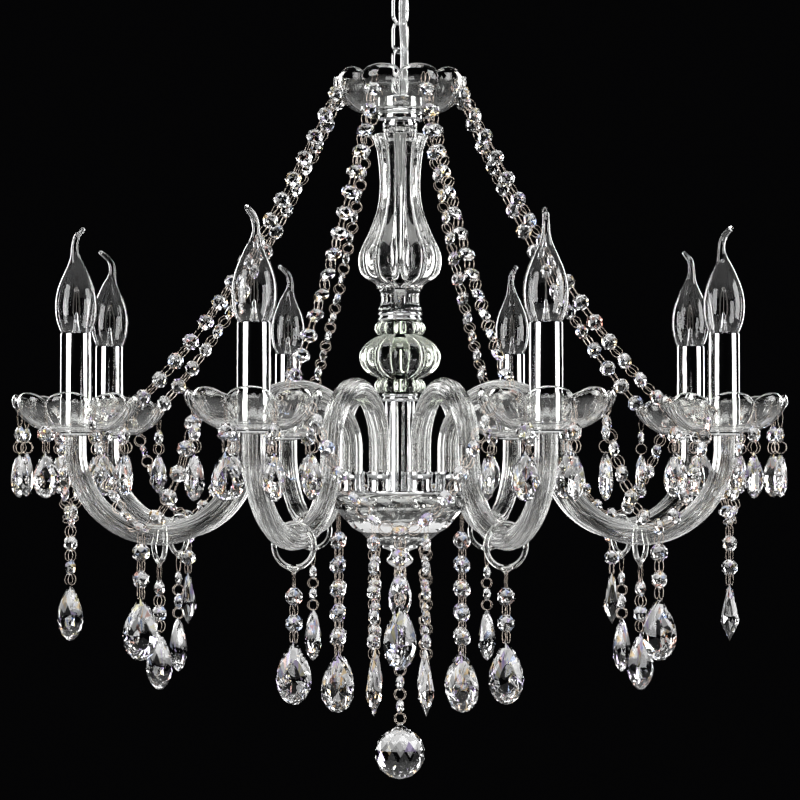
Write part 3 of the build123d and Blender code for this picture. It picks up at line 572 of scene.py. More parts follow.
def piece(form: Form, name: str, finish: Finish, body: str, *nodes: str,
          flat: bool = False) -> bpy.types.Object:
    """Makes a mesh of a form, dresses it and sets it on its body.

    Args:
        form: Its points and faces.
        name: Of the new object.
        finish: Its material and slot.
        body: Body of the frame that carries it.
        nodes: Nodes of the frame that it stands for.
        flat: True for cut facets. Each then gets a value of its own, which places the crystal's painted glint
            colours.

    Returns:
        The new object.
    """
    mesh = bpy.data.meshes.new(name)
    mesh.from_pydata(form.points.tolist(), [], form.faces)
    count = len(mesh.polygons)
    mesh.polygons.foreach_set("use_smooth", np.full(count, not flat))
    mesh.materials.append(finish.material)
    mesh.update()
    if flat:
        # random value per facet; the crystal material uses it to place painted glints
        carry(mesh, "facet", np.abs(np.sin(np.arange(count) * 12.9898) * 43758.5453) % 1, "FACE")
    thing = bpy.data.objects.new(name, mesh)
    bpy.context.scene.collection.objects.link(thing)
    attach(thing, str(body))
    if nodes:
        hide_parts(*nodes)
    log.info("%s: %d faces on %s", name, count, body)
    return thing


def crease(thing: bpy.types.Object) -> None:
    """Keeps edges sharper than 35 degrees crisp."""
    thing.data.set_sharp_from_angle(angle=math.radians(35))


@dataclass
class SubAssembly:
    """A group of pieces that one class builds and dresses."""

    finishes: Finishes


# ------------------------------------------------------------------ studio
@dataclass
class Studio:
    """Camera at the photograph's place, a pale floor, a plain dark surround and soft lamps."""

    eye: tuple[float, float, float] = (0.0, -2.016, -0.465)
    horizon_px: float = 460.0     # row of the photograph at the camera's own height
    focal_px: float = 2321.0
    frame_px: float = 800.0
    floor_z: float = -1.5
    floor_half: float = 4.4
    floor_colour: Colour = (0.8, 0.8, 0.8)
    surround: Colour = (0.0014, 0.0014, 0.0016)
    fill: float = 0.25
    aim_z: float = -0.42          # point of the column that the lamps face

    def camera(self) -> None:
        """Sets the camera: focal length and pitch follow from the photograph's pixels."""
        data = bpy.data.cameras.new("camera")
        data.sensor_width = 36
        data.lens = data.sensor_width * self.focal_px / self.frame_px
        camera = bpy.data.objects.new("camera", data)
        camera.location = self.eye
        pitch = math.atan((self.horizon_px - self.frame_px / 2) / self.focal_px)
        camera.rotation_euler = (math.pi / 2 + pitch, 0, 0)
        bpy.context.scene.collection.objects.link(camera)
        bpy.context.scene.camera = camera

    def floor(self) -> None:
        """Makes the plain matt floor, well under the fixture."""
        mesh = bpy.data.meshes.new("floor")
        corners = [(x * self.floor_half, y * self.floor_half, self.floor_z)
                   for x, y in ((-1, -1), (1, -1), (1, 1), (-1, 1))]
        mesh.from_pydata(corners, [], [(0, 1, 2, 3)])
        mesh.materials.append(shaded("floor", {"Base Color": (*self.floor_colour, 1), "Roughness": 0.9})[0])
        thing = bpy.data.objects.new("floor", mesh)
        bpy.context.scene.collection.objects.link(thing)

    def lamp(self, name: str, spot: tuple[float, float, float], size: tuple[float, float],
             power: float) -> None:
        """Makes a soft box that faces the column.

        Args:
            name: Of the lamp.
            spot: Its place.
            size: Its width and height.
            power: In watts.
        """
        data = bpy.data.lights.new(name, "AREA")
        data.shape = "RECTANGLE"
        data.size, data.size_y = size
        data.energy = power
        thing = bpy.data.objects.new(name, data)
        thing.location = spot
        aim = UP * self.aim_z - spot
        thing.rotation_euler = (math.acos(-aim[2] / np.linalg.norm(aim)), 0,
                                math.atan2(aim[1], aim[0]) - math.pi / 2)
        bpy.context.scene.collection.objects.link(thing)

    def world(self) -> None:
        """Sets the surround: dark where it is seen, mirrored or looked through, and an even white fill."""
        world = bpy.data.worlds.new("surround")
        world.use_nodes = True
        nodes, link = world.node_tree.nodes, world.node_tree.links.new
        seen = nodes["Background"]
        shade, path, either, any_seen, mix = (nodes.new("ShaderNode" + kind) for kind in
                                              ("Background", "LightPath", "Math", "Math", "MixShader"))
        seen.inputs["Color"].default_value = (*self.surround, 1)
        shade.inputs["Strength"].default_value = self.fill
        either.operation = any_seen.operation = "MAXIMUM"
        link(path.outputs["Is Camera Ray"], either.inputs[0])
        link(path.outputs["Is Glossy Ray"], either.inputs[1])
        link(either.outputs["Value"], any_seen.inputs[0])
        link(path.outputs["Is Transmission Ray"], any_seen.inputs[1])
        link(any_seen.outputs["Value"], mix.inputs["Fac"])
        link(shade.outputs["Background"], mix.inputs[1])
        link(seen.outputs["Background"], mix.inputs[2])
        link(mix.outputs["Shader"], nodes["World Output"].inputs["Surface"])
        bpy.context.scene.world = world

    def build(self) -> None:
        """Makes the whole set."""
        self.camera()
        self.floor()
        self.lamp("key left", (-1.75, -1.3, 0.1), (1.1, 1.7), 30)
        self.lamp("key right", (2.0, -0.55, 0.0), (1.0, 1.7), 28)
        self.lamp("rim left", (-1.5, 1.5, 0.0), (0.4, 1.6), 13)
        self.lamp("rim right", (1.5, 1.5, 0.0), (0.4, 1.6), 13)
        self.lamp("overhead", (0.0, -0.3, 1.3), (1.4, 0.9), 20)
        self.lamp("low front", (0.0, -1.9, -1.3), (1.2, 0.25), 5)
        self.world()
        bpy.context.scene.view_settings.view_transform = "Standard"


# ------------------------------------------------------------------ supply cable
@dataclass
class SupplyCable(SubAssembly):
    """Clear flex in front of the chain, from the canopy's grip into the collar of the column."""

    route: tuple[tuple[float, float, float], ...] = (
        (0.0035, -0.0135, -0.0305), (0.0035, -0.0135, -0.0545), (0.0019, -0.0141, -0.08),
        (0.0041, -0.0144, -0.108), (0.0035, -0.0135, -0.133), (0.0035, -0.0135, -0.1545))
    radius: float = 3.5 * MM
    split_z: float = -0.0765      # on the first link, between its two pivots

    def line(self) -> Array:
        """Points of the cable's own smooth line, read from a spline with the route as its control points."""
        curve = bpy.data.curves.new("cable route", "CURVE")
        curve.dimensions = "3D"
        spline = curve.splines.new("NURBS")
        spline.points.add(len(self.route) - 1)
        for point, spot in zip(spline.points, self.route):
            point.co = (*spot, 1)
        spline.order_u = 3
        spline.use_endpoint_u = True
        spline.resolution_u = 24
        thing = bpy.data.objects.new("cable route", curve)
        bpy.context.scene.collection.objects.link(thing)
        mesh = bpy.data.meshes.new_from_object(thing)
        points = np.array([v.co for v in mesh.vertices])
        bpy.data.objects.remove(thing)
        bpy.data.meshes.remove(mesh)
        return points

    def build(self) -> None:
        """Makes the cable in two fixed lengths, each running across one pivot of the chain."""
        line = self.line()
        upper, lower = line[line[:, 2] >= self.split_z], line[line[:, 2] <= self.split_z]
        seam = (upper[-1] + lower[0]) / 2
        upper, lower = np.vstack([upper[:-1], seam]), np.vstack([seam, lower[1:]])
        spans = (("supply_cable_upper", upper, Body.CEILING, Body.LINK, (-0.045, -0.066), ("power_cable",)),
                 ("supply_cable_lower", lower, Body.LINK, Body.FIXTURE, (-0.079, -0.112), ()))
        for name, path, above, below, heights, nodes in spans:
            form = tube(path, self.radius, 24, side=np.array([1.0, 0.0, 0.0]))
            cable = piece(form, name, self.finishes.flex, below, *nodes)
            cable.parent = None       # taken off its body and baked in place
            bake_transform(cable)


# ------------------------------------------------------------------ ceiling fixing and chain
@dataclass
class CeilingFixing(SubAssembly):
    """Canopy with its hook."""

    hook_radius: float = 8.5 * MM
    wire: float = 1.5 * MM
    hook_turn: float = -45.0      # degrees
    shell: float = 0.8 * MM

    def build(self) -> None:
        """Spins the canopy's outline, and sets the hook's ring under its collar."""
        chrome = self.finishes.chrome
        low, high, wide = extent("canopy")
        outer = smooth_line(fitted([(0.41, 0), (0.55, 0.04), (0.76, 0.2), (0.93, 0.55), (0.99, 0.85), (1, 1)],
                                   low, high, wide), 40)
        inner = outer[::-1] * [0.965, 1] + [0, self.shell]
        inner[:, 1] = np.minimum(inner[:, 1], high)
        outline = np.vstack([[(ROD_BORE, low)], outer, inner, [(ROD_BORE, low + 1.5 * MM)]])
        crease(piece(turned(outline, 128), "canopy_shell", chrome, Body.CEILING, "canopy"))
        base, top, _ = extent("ceiling_hook")
        collar = stepped([(1, -5), (8.4, -5), (9.3, -4.2), (9.3, -0.2), (5.3, 0), (5.3, -2), (1, -2)], top)
        ring = wire_loop(self.hook_radius, 0, self.wire)
        placed = ring.at(on_axis(base + self.hook_radius + self.wire, self.hook_turn))
        crease(piece(joined(turned(collar, 64), placed), "ceiling_hook_ring", chrome, Body.CEILING,
                     "ceiling_hook"))


@dataclass
class Chain(SubAssembly):
    """Three oval links, and the loop on the column's collar."""

    half_width: float = 8.5 * MM
    straight: float = 11 * MM
    wire: float = 1.5 * MM
    turns: tuple[float, ...] = (45.0, 135.0, 225.0)       # degrees, as the loop's
    loop_turn: float = 315.0
    pitch: float = 24.7 * MM

    def links(self) -> None:
        """Hangs each link a pitch under the one above, a quarter turn round."""
        top = level("top_link", True) - self.wire - self.half_width - self.straight / 2
        oval = wire_loop(self.half_width, self.straight, self.wire)
        first, *lower = (oval.at(on_axis(top - n * self.pitch, turn)) for n, turn in enumerate(self.turns))
        piece(first, "first_link", self.finishes.chrome, Body.LINK, "top_link")
        piece(joined(*lower), "lower_links", self.finishes.chrome, Body.FIXTURE, "chain_links")

    def loop(self) -> None:
        """Sets the loop on its collar, which has a rounded shoulder."""
        low, high, wide = extent("column_loop")
        top = high - 2 * (self.half_width + self.wire) + self.wire
        outline = np.vstack([stepped([(1, 7), (5.3, 7), (5.3, 0)], low),
                             stepped([(-1, 0), (0, 1)], low, wide),
                             stepped([(0, -3), (-1.5, -1), (-4, 0)], top, wide), [(1 * MM, top)]])
        ring = wire_loop(self.half_width, 0, self.wire)
        placed = ring.at(on_axis(high - self.half_width - self.wire, self.loop_turn))
        crease(piece(joined(turned(outline, 64), placed), "column_loop_collar", self.finishes.chrome,
                     Body.FIXTURE, "column_loop"))

    def build(self) -> None:
        """Makes the links and the loop."""
        self.links()
        self.loop()


# ------------------------------------------------------------------ scalloped bowls
@dataclass
class ScallopedBowl:
    """Pressed glass bowl whose wall opens out into petals that curl in at their tips.

    Its outside is given by two lines of (radius, height) knots from foot to rim, one up the middle
    of a petal and one up the crease between two.
    """

    petals: int
    petal_line: Pairs             # in millimetres, as the crease's
    crease_line: Pairs
    wall: float
    bore: float
    cuts: int = 6                 # cuts on each side of a petal's middle, in a fan
    cut_depth: float = 0.5 * MM
    around: int = 26              # columns in one petal
    rows: int = 20

    def outside(self) -> tuple[Array, Array]:
        """Radius and height of the outside, as grids of rise by turn.

        With u from -1 to 1 across a petal, a point lies sqrt(1 - u^2) of the way from the crease's
        line to the petal's. The fan is a cosine of u divided by the rise, so its cuts spread upwards,
        and fades out towards the middle of the petal.

        Returns:
            Grids of radius and height.
        """
        across = np.tile(np.linspace(-1, 1, self.around, endpoint=False), self.petals)
        share = np.sqrt(np.clip(1 - across**2, 0, 1))
        petal, valley = (smooth_line(np.array(line) * MM, self.rows)[:, None, :]
                         for line in (self.petal_line, self.crease_line))
        surface = valley + (petal - valley) * share[:, None]
        rise = np.linspace(0, 1, self.rows)[:, None]
        fan = np.cos(math.pi * self.cuts * across / (rise * 0.7 + 0.35)) * np.clip(rise * 4 - 1, 0, 1)
        fan = fan * np.clip((1 - rise) * 7, 0, 1) * share * np.clip(np.abs(across) * 2.5 - 0.9, 0, 1)
        return surface[..., 0] + self.cut_depth * (fan - 1) * 0.5, surface[..., 1]

    def form(self) -> Form:
        """The outside, a rounded lip and the inside as one closed surface round the bore.

        The inside lies one wall further in, along the outside's own normal up each line.

        Returns:
            The bowl, its foot at the origin.
        """
        radius, height = self.outside()
        up, out = np.gradient(height, axis=0), np.gradient(radius, axis=0)
        size = np.hypot(up, out)
        thick = self.wall * np.linspace(1.0, 0.7, self.rows)[:, None]
        inner_r, inner_z = radius - thick * up / size, height + thick * out / size
        inner_z = np.clip(inner_z, self.wall, height.max())
        lip = np.minimum((height[-1:] + inner_z[-1:]) / 2 + 0.3 * thick[-1], height.max())
        turn = round_turns(radius.shape[1])
        floor = np.zeros((1, len(turn)))
        radii = np.vstack([floor + self.bore, radius, (radius[-1:] + inner_r[-1:]) / 2, inner_r[::-1],
                           floor + self.bore])
        heights = np.vstack([floor, height, lip, inner_z[::-1], floor + self.wall])
        return sheet_of(polar(radii, turn, heights), ring=True)


# ------------------------------------------------------------------ column
@dataclass
class Column(SubAssembly):
    """Top bowl and its cup, then baluster, spool, rings, collars, ball and sleeve on the rod."""

    lobes: int = 12
    ball_swing: float = 1.12      # radians of the ball's round above and below its middle
    collar_swing: float = 0.8
    collar_tall: float = 11 * MM

    def threaded(self, profile: Array, node: str, finish: Finish, lobes: int = 0,
                 depth: float | Array = 0.0) -> bpy.types.Object:
        """Spins one threaded piece of the column, with the rod's bore through it.

        Args:
            profile: Its outside, going up.
            node: The node that it stands for.
            finish: Its finish.
            lobes: How many lobes go round it.
            depth: Share of the radius that a crease takes, one value or one for each pair.

        Returns:
            The new object.
        """
        depths = np.concatenate([[0.0], np.broadcast_to(depth, len(profile)), [0.0]])
        form = turned(bored(profile), 144, lobes, depths)
        return piece(form, node + "_finished", finish, Body.FIXTURE, node)

    def bowl(self) -> None:
        """Sets the scalloped top bowl on its cup."""
        bowl = ScallopedBowl(
            petals=10, wall=3.5 * MM, bore=ROD_BORE,
            petal_line=[(24, 0), (36, 1.5), (45, 6), (52.5, 13.5), (57.5, 22), (59.5, 29), (58.3, 34.5),
                        (54.5, 38)],
            crease_line=[(24, 0), (35.5, 1.5), (43.5, 6), (49.5, 13), (53, 20), (54.5, 25), (54.8, 28.5),
                         (54.6, 30.5)])
        piece(bowl.form().at(on_axis(level("top_bowl"), 180 / bowl.petals)), "top_bowl_glass",
              self.finishes.glass, Body.FIXTURE, "top_bowl")
        low, high, _ = extent("bowl_cup")
        foot = [(14.6, 0), (15.4, 0.8), (15.4, 3), (14, 3.8), (14, 5), (18.6, 6.2), (19.8, 7)]
        cup = np.vstack([stepped(foot, low), stepped([(19.8, -0.8), (19, 0)], high)])
        crease(self.threaded(cup, "bowl_cup", self.finishes.chrome))

    def baluster(self) -> None:
        """Spins the fluted baluster, with a flared head, a long waist and a full belly, and its spool."""
        low, high, wide = extent("baluster")
        shape = [(0.56, 0), (0.6, 0.03), (0.9, 0.08), (1, 0.155), (0.96, 0.24), (0.74, 0.36), (0.545, 0.5),
                 (0.486, 0.62), (0.5, 0.74), (0.55, 0.84), (0.61, 0.9), (0.665, 0.935), (0.655, 0.95),
                 (0.45, 0.958), (0.42, 0.975), (0.42, 1)]
        line = smooth_line(fitted(shape, low, high, wide), 110)
        along = (line[:, 1] - low) / (high - low)
        depth = 0.14 * np.clip(np.minimum(along / 0.06, (1.02 - along) / 0.1), 0, 1)
        self.threaded(line, "baluster", self.finishes.glass, self.lobes, depth)
        shape = [(0.95, 0), (1, 0.05), (0.98, 0.16), (0.9, 0.28), (0.87, 0.5), (0.9, 0.75), (0.95, 0.9),
                 (0.92, 1)]
        line = smooth_line(fitted(shape, *extent("glass_spool")), 40)
        self.threaded(line, "glass_spool", self.finishes.glass, self.lobes, 0.05)

    def rings(self) -> None:
        """Spins the two chrome rings, each with a bead round it."""
        low, high, _ = extent("column_rings")
        shape = [(0.84, 0), (0.95, 0.12), (1, 0.3), (0.93, 0.5), (1, 0.7), (0.95, 0.88), (0.84, 1)]
        forms = [turned(bored(smooth_line(fitted(shape, base, top, wide), 30)))
                 for base, top, wide in ((high - 10 * MM, high, 19.4 * MM), (low, low + 8 * MM, 15.9 * MM))]
        piece(joined(*forms), "column_rings_finished", self.finishes.chrome, Body.FIXTURE, "column_rings")

    def ball(self) -> None:
        """Spins the lobed ball and the two small collars that hold it, each a part of a round."""
        low, high, wide = extent("glass_ball")
        swing = np.linspace(-self.ball_swing, self.ball_swing, 48)
        rise = (high - low) / 2 * np.sin(swing) / math.sin(self.ball_swing)
        profile = np.c_[wide * 1.02 * np.cos(swing), (low + high) / 2 + rise]
        self.threaded(profile, "glass_ball", self.finishes.green_glass, self.lobes, 0.1)
        low, high, wide = extent("glass_collars")
        swing = np.linspace(-self.collar_swing, self.collar_swing, 16)
        rise = self.collar_tall / 2 * (1 + np.sin(swing) / math.sin(self.collar_swing))
        forms = [turned(bored(np.c_[wide * (0.6 + 0.4 * np.cos(swing)), base + rise]), 144, self.lobes, 0.12)
                 for base in (low, high - self.collar_tall)]
        piece(joined(*forms), "glass_collars_finished", self.finishes.green_glass, Body.FIXTURE,
              "glass_collars")

    def sleeve(self) -> None:
        """Spins the lower sleeve as an open tube."""
        low, high, wide = extent("lower_sleeve")
        outline = np.vstack([stepped([(-1.5, 0), (-0.3, 0), (0, 0.3)], low, wide),
                             stepped([(0, -0.3), (-0.3, 0), (-1.5, 0)], high, wide)])
        crease(piece(turned(outline), "lower_sleeve_tube", self.finishes.chrome, Body.FIXTURE,
                     "lower_sleeve"))

    def build(self) -> None:
        """Makes every piece that is threaded on the rod."""
        self.bowl()
        self.baluster()
        self.rings()
        self.ball()
        self.sleeve()


# ------------------------------------------------------------------ hub
@dataclass
class Hub(SubAssembly):
    """Chrome plate with its arm sockets, and the cut bowl with its finial below."""

    socket: float = 11.2 * MM
    arm: float = 9.1 * MM
    waist: float = 0.7 * MM       # drawn in between a socket's two beads
    cuts: int = 18

    def plate(self) -> None:
        """Spins the plate with a rolled rim, and sets a socket round the foot of each arm."""
        low, high, wide = extent("hub_plate")
        rim = smooth_line([(wide - 2 * MM, low), (wide, (low + high) / 2), (wide - 2.5 * MM, high)], 9)
        crease(piece(turned(bored(rim), 128), "hub_plate_finished", self.finishes.chrome, Body.FIXTURE,
                     "hub_plate"))
        low, high, _ = extent("arm_sockets")
        wide, slim = self.socket, self.socket - self.waist
        outline = [(self.arm, 0), (wide, 0), (wide, 0.12), (slim, 0.2), (slim, 0.82), (wide, 0.9),
                   (wide - 0.2 * MM, 1), (self.arm, 1)]
        sockets = turned(fitted(outline, 0, high - low, 1), 48).at(round_places(ARM_FOOT_CIRCLE, low))
        crease(piece(sockets, "arm_socket_cups", self.finishes.chrome, Body.FIXTURE, "arm_sockets"))

    def bowl(self) -> None:
        """Cuts the bowl: rows of corners joined by flat triangles, over a smooth lining."""
        low, high, wide = extent("hub_bowl")
        shape = [(0, 0.37), (0.26, 0.59), (0.48, 0.79), (0.7, 0.93), (0.93, 0.985), (1, 0.985)]
        turn = round_turns(self.cuts)
        rows = np.stack([polar(wide * share, turn + math.pi / self.cuts * (n % 2), low + rise * (high - low))
                         for n, (rise, share) in enumerate(shape)])
        inside = [(0.9, 1), (0.86, 0.7), (0.7, 0.35), (0.4, 0.16), (0.09, 0.12)]
        lining = smooth_line(fitted(inside, low, high, wide), 20)
        top_turn = turn + math.pi / self.cuts * ((len(rows) - 1) % 2)
        facets = Form(rows.reshape(-1, 3), facet_rows(rows, slanted=0))
        shell = joined(facets, sheet_of(polar(lining[:, :1], top_turn, lining[:, 1:]), caps=False))
        c = np.arange(self.cuts)
        beside, start = (c + 1) % self.cuts, len(rows) * self.cuts
        rim, last = start - self.cuts, start + (len(lining) - 1) * self.cuts
        closing = [np.stack([rim + c, rim + beside, start + beside, start + c], -1),
                   np.stack([beside, c, last + c, last + beside], -1)]
        shell.faces += [tuple(f) for f in np.stack(closing, 1).reshape(-1, 4).tolist()]
        piece(shell, "hub_bowl_cut", self.finishes.glass, Body.FIXTURE, "hub_bowl", flat=True)

    def finial(self) -> None:
        """Spins the finial: a disc under the bowl, a neck and a drop with an eye's foot."""
        (low, _, wide), high = extent("finial"), level("hub_bowl")
        shape = [(0.12, 0), (0.24, 0.08), (0.62, 0.24), (0.76, 0.42), (0.6, 0.6), (0.5, 0.72), (0.8, 0.82),
                 (1, 0.88), (1, 0.99)]
        outline = np.vstack([smooth_line(fitted(shape, low, high, wide), 48), [(0.1 * wide, high)]])
        crease(piece(turned(outline, ring=False), "finial_turned", self.finishes.chrome, Body.FIXTURE,
                     "finial"))

    def build(self) -> None:
        """Makes the hub."""
        self.plate()
        self.bowl()
        self.finial()


# ------------------------------------------------------------------ arms
@dataclass
class Arms(SubAssembly):
    """Eight S-shaped arms of ribbed glass."""

    upper_bend: float = 50 * MM
    lower_bend: float = 71.5 * MM
    radius: float = 9 * MM
    ribs: int = 12
    sides: int = 72

    def centre_line(self) -> Array:
        """Points of an arm in the XZ plane: up, over a half circle, down a larger one, and up."""
        foot, end = level("hub_plate", True), level("bobeche_nuts")
        bend = level("glass_arms", True) - self.radius - self.upper_bend
        over, under = np.linspace(math.pi, 0, 60), np.linspace(-math.pi, 0, 84)[1:]
        first = ARM_FOOT_CIRCLE + self.upper_bend
        second = first + self.upper_bend + self.lower_bend
        x = np.concatenate([np.full(11, ARM_FOOT_CIRCLE), first + self.upper_bend * np.cos(over),
                            second + self.lower_bend * np.cos(under), np.full(5, second + self.lower_bend)])
        z = np.concatenate([np.linspace(foot, bend, 12)[:-1], bend + self.upper_bend * np.sin(over),
                            bend + self.lower_bend * np.sin(under), np.linspace(bend, end, 6)[1:]])
        return np.c_[x, np.zeros_like(x), z]

    def build(self) -> None:
        """Carries the ribbed section along the line, and copies the arm round the hub."""
        arm = tube(self.centre_line(), self.radius * 0.995, self.sides, self.ribs, 0.09)
        arms = piece(arm.at(round_places(0, 0)), "ribbed_arms", self.finishes.arm_glass, Body.FIXTURE,
                     "glass_arms")
        rings = len(arms.data.vertices) // self.sides
        # the groove value places the painted shade of the arm glass
        carry(arms.data, "groove", np.tile(creases(self.sides, self.ribs), rings), "POINT")


# ------------------------------------------------------------------ candles
@dataclass
class Candles(SubAssembly):
    """Nuts, drip pans, chrome sleeves and clear lamps with a bent tip."""

    sleeve_radius: float = 13 * MM
    lamp_radius: float = 17.4 * MM
    cap_radius: float = 6.6 * MM
    tip_bend: float = 11.8 * MM
    tip_turns: tuple[float, ...] = (120, 60, 200, 190, 60, 232, 90, 310)      # degrees

    def pans(self) -> None:
        """Sets a nut and a scalloped pan on the end of each arm."""
        low, high, _ = extent("bobeche_nuts")
        bore = STEM_BORE / MM
        nut = turned(fitted([(bore, 0), (13, 0), (13.8, 0.5), (13, 1), (bore, 1)], 0, high - low, MM), 48)
        crease(piece(nut.at(round_places(CANDLE_CIRCLE, low)), "pan_nuts", self.finishes.chrome, Body.FIXTURE,
                     "bobeche_nuts"))
        pan = ScallopedBowl(
            petals=8, wall=3 * MM, bore=STEM_BORE,
            petal_line=[(24, 0), (31, 2.2), (38, 6.2), (45, 12), (50.4, 18.5), (52.9, 25), (52.4, 29),
                        (50.2, 32)],
            crease_line=[(24, 0), (30.5, 2.2), (36.5, 5.8), (41.5, 10.2), (44.4, 14.3), (46, 17.8),
                         (46.6, 19.6), (46.8, 21)])
        piece(pan.form().at(round_places(CANDLE_CIRCLE, level("bobeches"))), "drip_pans",
              self.finishes.glass, Body.FIXTURE, "bobeches")

    def sleeves(self) -> None:
        """Stands an open chrome tube in each pan."""
        low, high, _ = extent("candle_sleeves")
        outline = np.vstack([stepped([(-0.8, 0), (0, 0)], 0, self.sleeve_radius),
                             stepped([(0, -0.4), (-0.2, 0), (-0.6, 0), (-0.8, -0.4)], high - low,
                                     self.sleeve_radius)])
        crease(piece(turned(outline, 64).at(round_places(CANDLE_CIRCLE, low)), "candle_tubes",
                     self.finishes.chrome, Body.FIXTURE, "candle_sleeves"))

    def envelope(self, foot: float, top: float) -> Form:
        """Lamp glass: a full pear with a thin tail, whose round tip leans over after a slight S.

        Its rings follow a line in the XZ plane. Each is moved sideways by that line's own lean and
        tilted square to it. The inside is drawn in by the glass's thickness.

        Args:
            foot: Height where the glass leaves its cap.
            top: Height of the tip.

        Returns:
            The glass as one closed form.
        """
        shape = [(0.6, 0, 0.0), (0.7, 0, 0.022), (0.83, 0, 0.075), (0.95, 0, 0.155), (1.0, 0, 0.25),
                 (0.985, 0, 0.33), (0.9, 0, 0.42), (0.76, 0, 0.5), (0.59, 0, 0.575), (0.42, -0.03, 0.645),
                 (0.29, -0.1, 0.7), (0.215, -0.17, 0.75), (0.18, -0.19, 0.8), (0.168, -0.13, 0.86),
                 (0.163, 0.12, 0.92), (0.145, 0.55, 0.967), (0.1, 0.78, 0.987), (0.02, 0.86, 0.993)]
        line = smooth_line(shape, 96) * [self.lamp_radius, self.tip_bend, top - foot]
        tilt = np.arctan2(np.gradient(line[:, 1]), np.gradient(line[:, 2]))
        turn = round_turns(48)

        def rings(rows: Array, radius: Array, tilts: Array) -> Array:
            """Rings of a radius about some rows of the line."""
            across = radius[:, None] * np.cos(turn)
            x = rows[:, 1:2] + across * np.cos(tilts)[:, None]
            z = foot + rows[:, 2:] - across * np.sin(tilts)[:, None]
            return np.stack([x, radius[:, None] * np.sin(turn), z], -1)

        wall = np.minimum(0.55 * MM, 0.3 * line[:-9, 0])
        inner = rings(line[:-9] + UP * 0.2 * MM, line[:-9, 0] - wall, tilt[:-9])
        return joined(sheet_of(rings(line, line[:, 0], tilt)), sheet_of(inner).flipped())

    def works(self, foot: float) -> tuple[Form, Form]:
        """The glass stem inside the lamp, and the coil on its wires.

        The coil is a helix that runs up, over and down as a hairpin.

        Args:
            foot: Height where the glass leaves its cap.

        Returns:
            The stem, and the wires with their coil.
        """
        def above(rows: list[tuple[float, float, float]]) -> Array:
            """Millimetre points over the foot."""
            return np.array(rows) * MM + UP * foot

        flare = stepped([(4.4, 1), (3, 6), (1.6, 13), (1.2, 18), (0.5, 19.5)], foot)
        stem = turned(smooth_line(flare, 24), 24, ring=False)
        rail = smooth_line(above([(-4.2, 0, 19), (-3.4, 0, 31), (0, 0, 40), (3.4, 0, 31), (4.2, 0, 19)]), 260)
        wave = 2 * math.pi * 30 * np.linspace(0, 1, 260)
        coil = rail + 0.55 * MM * np.c_[np.cos(wave), np.sin(wave), np.zeros_like(wave)]
        leads = [tube(smooth_line(above([(s * 1.2, 0, 12), (s * 3, 0, 16), (s * 4.2, 0, 19)]), 12),
                      0.22 * MM, 6) for s in (-1, 1)]
        prop = tube(above([(0, 0, 19), (0, 0.2, 30), (0, 0, 39.5)]), 0.18 * MM, 6)
        return stem, joined(tube(coil, 0.14 * MM, 4, side=np.array([0.3, 0.2, 1.0])), prop, *leads)

    def lamps(self) -> None:
        """Makes the eight lamps, each on its own body, with its tip turned its own way."""
        low, top, _ = extent("bulb_1")
        foot = level("candle_sleeves", True) - 1.7 * MM
        glass = self.envelope(foot, top)
        stem, wires = self.works(foot)
        cap = turned(np.vstack([[(2.5 * MM, low)], stepped([(-1.4, 1.5), (-0.1, 3)], low, self.cap_radius),
                                stepped([(-0.1, 0), (-1, 0.4)], foot, self.cap_radius)]), 32, ring=False)
        for k, (turn, tip) in enumerate(zip(ARM_TURNS, self.tip_turns), 1):
            spot = places(polar(CANDLE_CIRCLE, turn, 0.0), polar(1, math.radians(tip), 0))
            body = f"lamp_{k}"
            piece(glass.at(spot), f"lamp_{k}_glass", self.finishes.lamp_glass, body, f"bulb_{k}")
            piece(stem.at(spot), f"lamp_{k}_stem", self.finishes.lamp_glass, body)
            piece(wires.at(spot), f"lamp_{k}_coil", self.finishes.filament, body)
            piece(cap.at(spot), f"lamp_{k}_cap", self.finishes.brass, body)

    def build(self) -> None:
        """Makes every piece that stands on the arms."""
        self.pans()
        self.sleeves()
        self.lamps()


